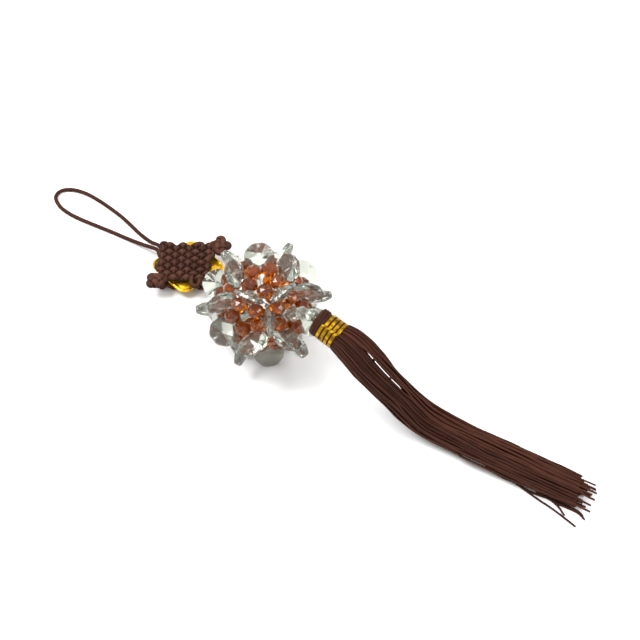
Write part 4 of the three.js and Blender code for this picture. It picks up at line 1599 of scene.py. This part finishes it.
def strings_in_disc(tree, entry):
    """Upright lines spread over a disc as seeds are. Their height is the place along the skirt."""
    number = tree.node("GeometryNodeInputIndex")
    away = ((number + 0.5) / entry["Strings"]) ** 0.5
    angle = number * GOLDEN_ANGLE
    place = tree.vector_of(angle.cosine() * away, angle.sine() * away, 0.0)
    points = tree.node("GeometryNodePoints", None, {"Count": entry["Strings"], "Position": place})
    line = tree.node("GeometryNodeCurvePrimitiveLine", None, {"Start": (0, 0, 0), "End": (0, 0, 1)})
    sockets = {"Curve": line, "Count": entry["Points"]}
    line = tree.node("GeometryNodeResampleCurve", {"mode": "COUNT"}, sockets)
    lines = tree.node("GeometryNodeInstanceOnPoints", None, {"Points": points, "Instance": line})
    return tree.node("GeometryNodeRealizeInstances", None, {"Geometry": lines})


def drifts(tree, entry, own, a, b, share):
    """Sideways drift of each string: a part of its own and a part that it shares with its neighbours."""
    alone = tree.vector_of(own * 90.0, share * 6.0, 0.0)
    shared = tree.vector_of(a * 1.6, b * 1.6, share * 4.0)
    parts = []
    for place, reach in ((alone, entry["Drift"]), (shared, entry["Clump"])):
        sockets = {"Vector": place, "Scale": 1.0, "Detail": 1.0}
        noise = tree.node("ShaderNodeTexNoise", {"normalize": True}, sockets)["Color"]
        x, y, _ = tree.parts_of(noise)
        parts.append(((x - 0.5) * reach, (y - 0.5) * reach))
    return parts[0][0] + parts[1][0], parts[0][1] + parts[1][1]


# %% Slits
SLITS = [
    (0.36, 0.196, 0.115, 36, 5),
    (-0.72, 0.601, 0.055, 33, 0),
]  # how far off the middle, where along and half its length, as shares, its slope and how that turns, degrees
SLIT_FLARE = 0.05  # how much wider a slit is per depth


def slit_shift(entry, base, drifted, share, slit):
    """Keeps strings clear of a plane through the bundle over a stretch, so the table shows between them.

    Each string stays on the side where its evenly spread place is.
    """
    off_middle, along, half_length, slope, change = slit
    inside = (share - along) / half_length
    angle = inside * math.radians(change) + math.radians(slope)
    across, up = angle.cosine(), angle.sine()
    even_x, even_y, half = base
    even_across = even_x * math.cos(math.radians(slope)) + even_y * math.sin(math.radians(slope))
    start = even_across - half * off_middle
    side = start.maths("SIGN")
    miss = (drifted[0] * across + drifted[1] * up - half * off_middle) * side
    depth = (drifted[1] * across - drifted[0] * up).size()
    hump = (2.0 - 2.0 * inside * inside).at_least(0.0).at_most(1.0)
    push = (entry["Slit"] + depth * SLIT_FLARE - miss).at_least(0.0) * hump * side
    return push * across, push * up


# %% Skirt
def make_skirt():
    values = {
        "Strings": STRINGS,
        "Points": STRING_POINTS,
        "String radius": STRING_RADIUS,
        "Ragged": 0.06,
        "Slant": 0.012,
        "Drift": 2.2 * MM,
        "Clump": 2.4 * MM,
        "Slit": 0.6 * MM,
        "Seed": 21,
        "Material": brown_string,
    }
    skirt = grown("skirt_strings", skirt_tree(), values, guide_mesh())
    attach(skirt, "root")
    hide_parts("skirt")


make_skirt()

# %% Stray strings
STRAYS = [
    [(84.0, -1.9), (90.4, -1.4), (97.3, -2.1), (104.2, -2.8), (109.6, -3.1), (115.1, -3.8), (123.8, -5.2)],
    [(89.1, -1.5), (95.7, -1.5), (100.6, -1.0), (107.0, 0.3), (112.1, -0.7), (117.0, -3.2)],
    [(100.4, -0.7), (106.3, 0.3), (111.4, 0.4), (115.5, 1.0), (121.0, 1.5), (125.3, 0.1)],
    [(98.4, 0.5), (105.3, 1.4), (110.8, 1.3), (115.1, 1.9), (120.2, 2.3), (123.9, 1.2)],
]  # on the table, mm
STRAY_HEIGHT = 0.55  # of their middles above the table, mm
STRAY_LIFT = 1.4 * MM  # where they come out of the bundle
STRAY_FALL = 8  # points until they are down on the table


def make_strays():
    """A few strings that have slipped out of the bundle and lie beside it."""
    places = [[Vector((x, y, STRAY_HEIGHT)) * MM for x, y in route] for route in STRAYS]
    routes = [smoothed(points, 1 * MM) for points in places]
    for route in routes:
        for number in range(STRAY_FALL):
            route[number].z += STRAY_LIFT * (1 - number / STRAY_FALL) ** 2
    strays = cords("skirt_strays", routes, brown_string, STRING_RADIUS, sides=8, step=0.8 * MM, seed=17)


make_strays()

# %% Finish
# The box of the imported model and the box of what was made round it, side by side.
size = {"cad": [list(corner) for corner in cad_box], "visual": [list(corner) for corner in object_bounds()]}
print("visual box", [[round(v / MM, 1) for v in corner] for corner in size["visual"]])
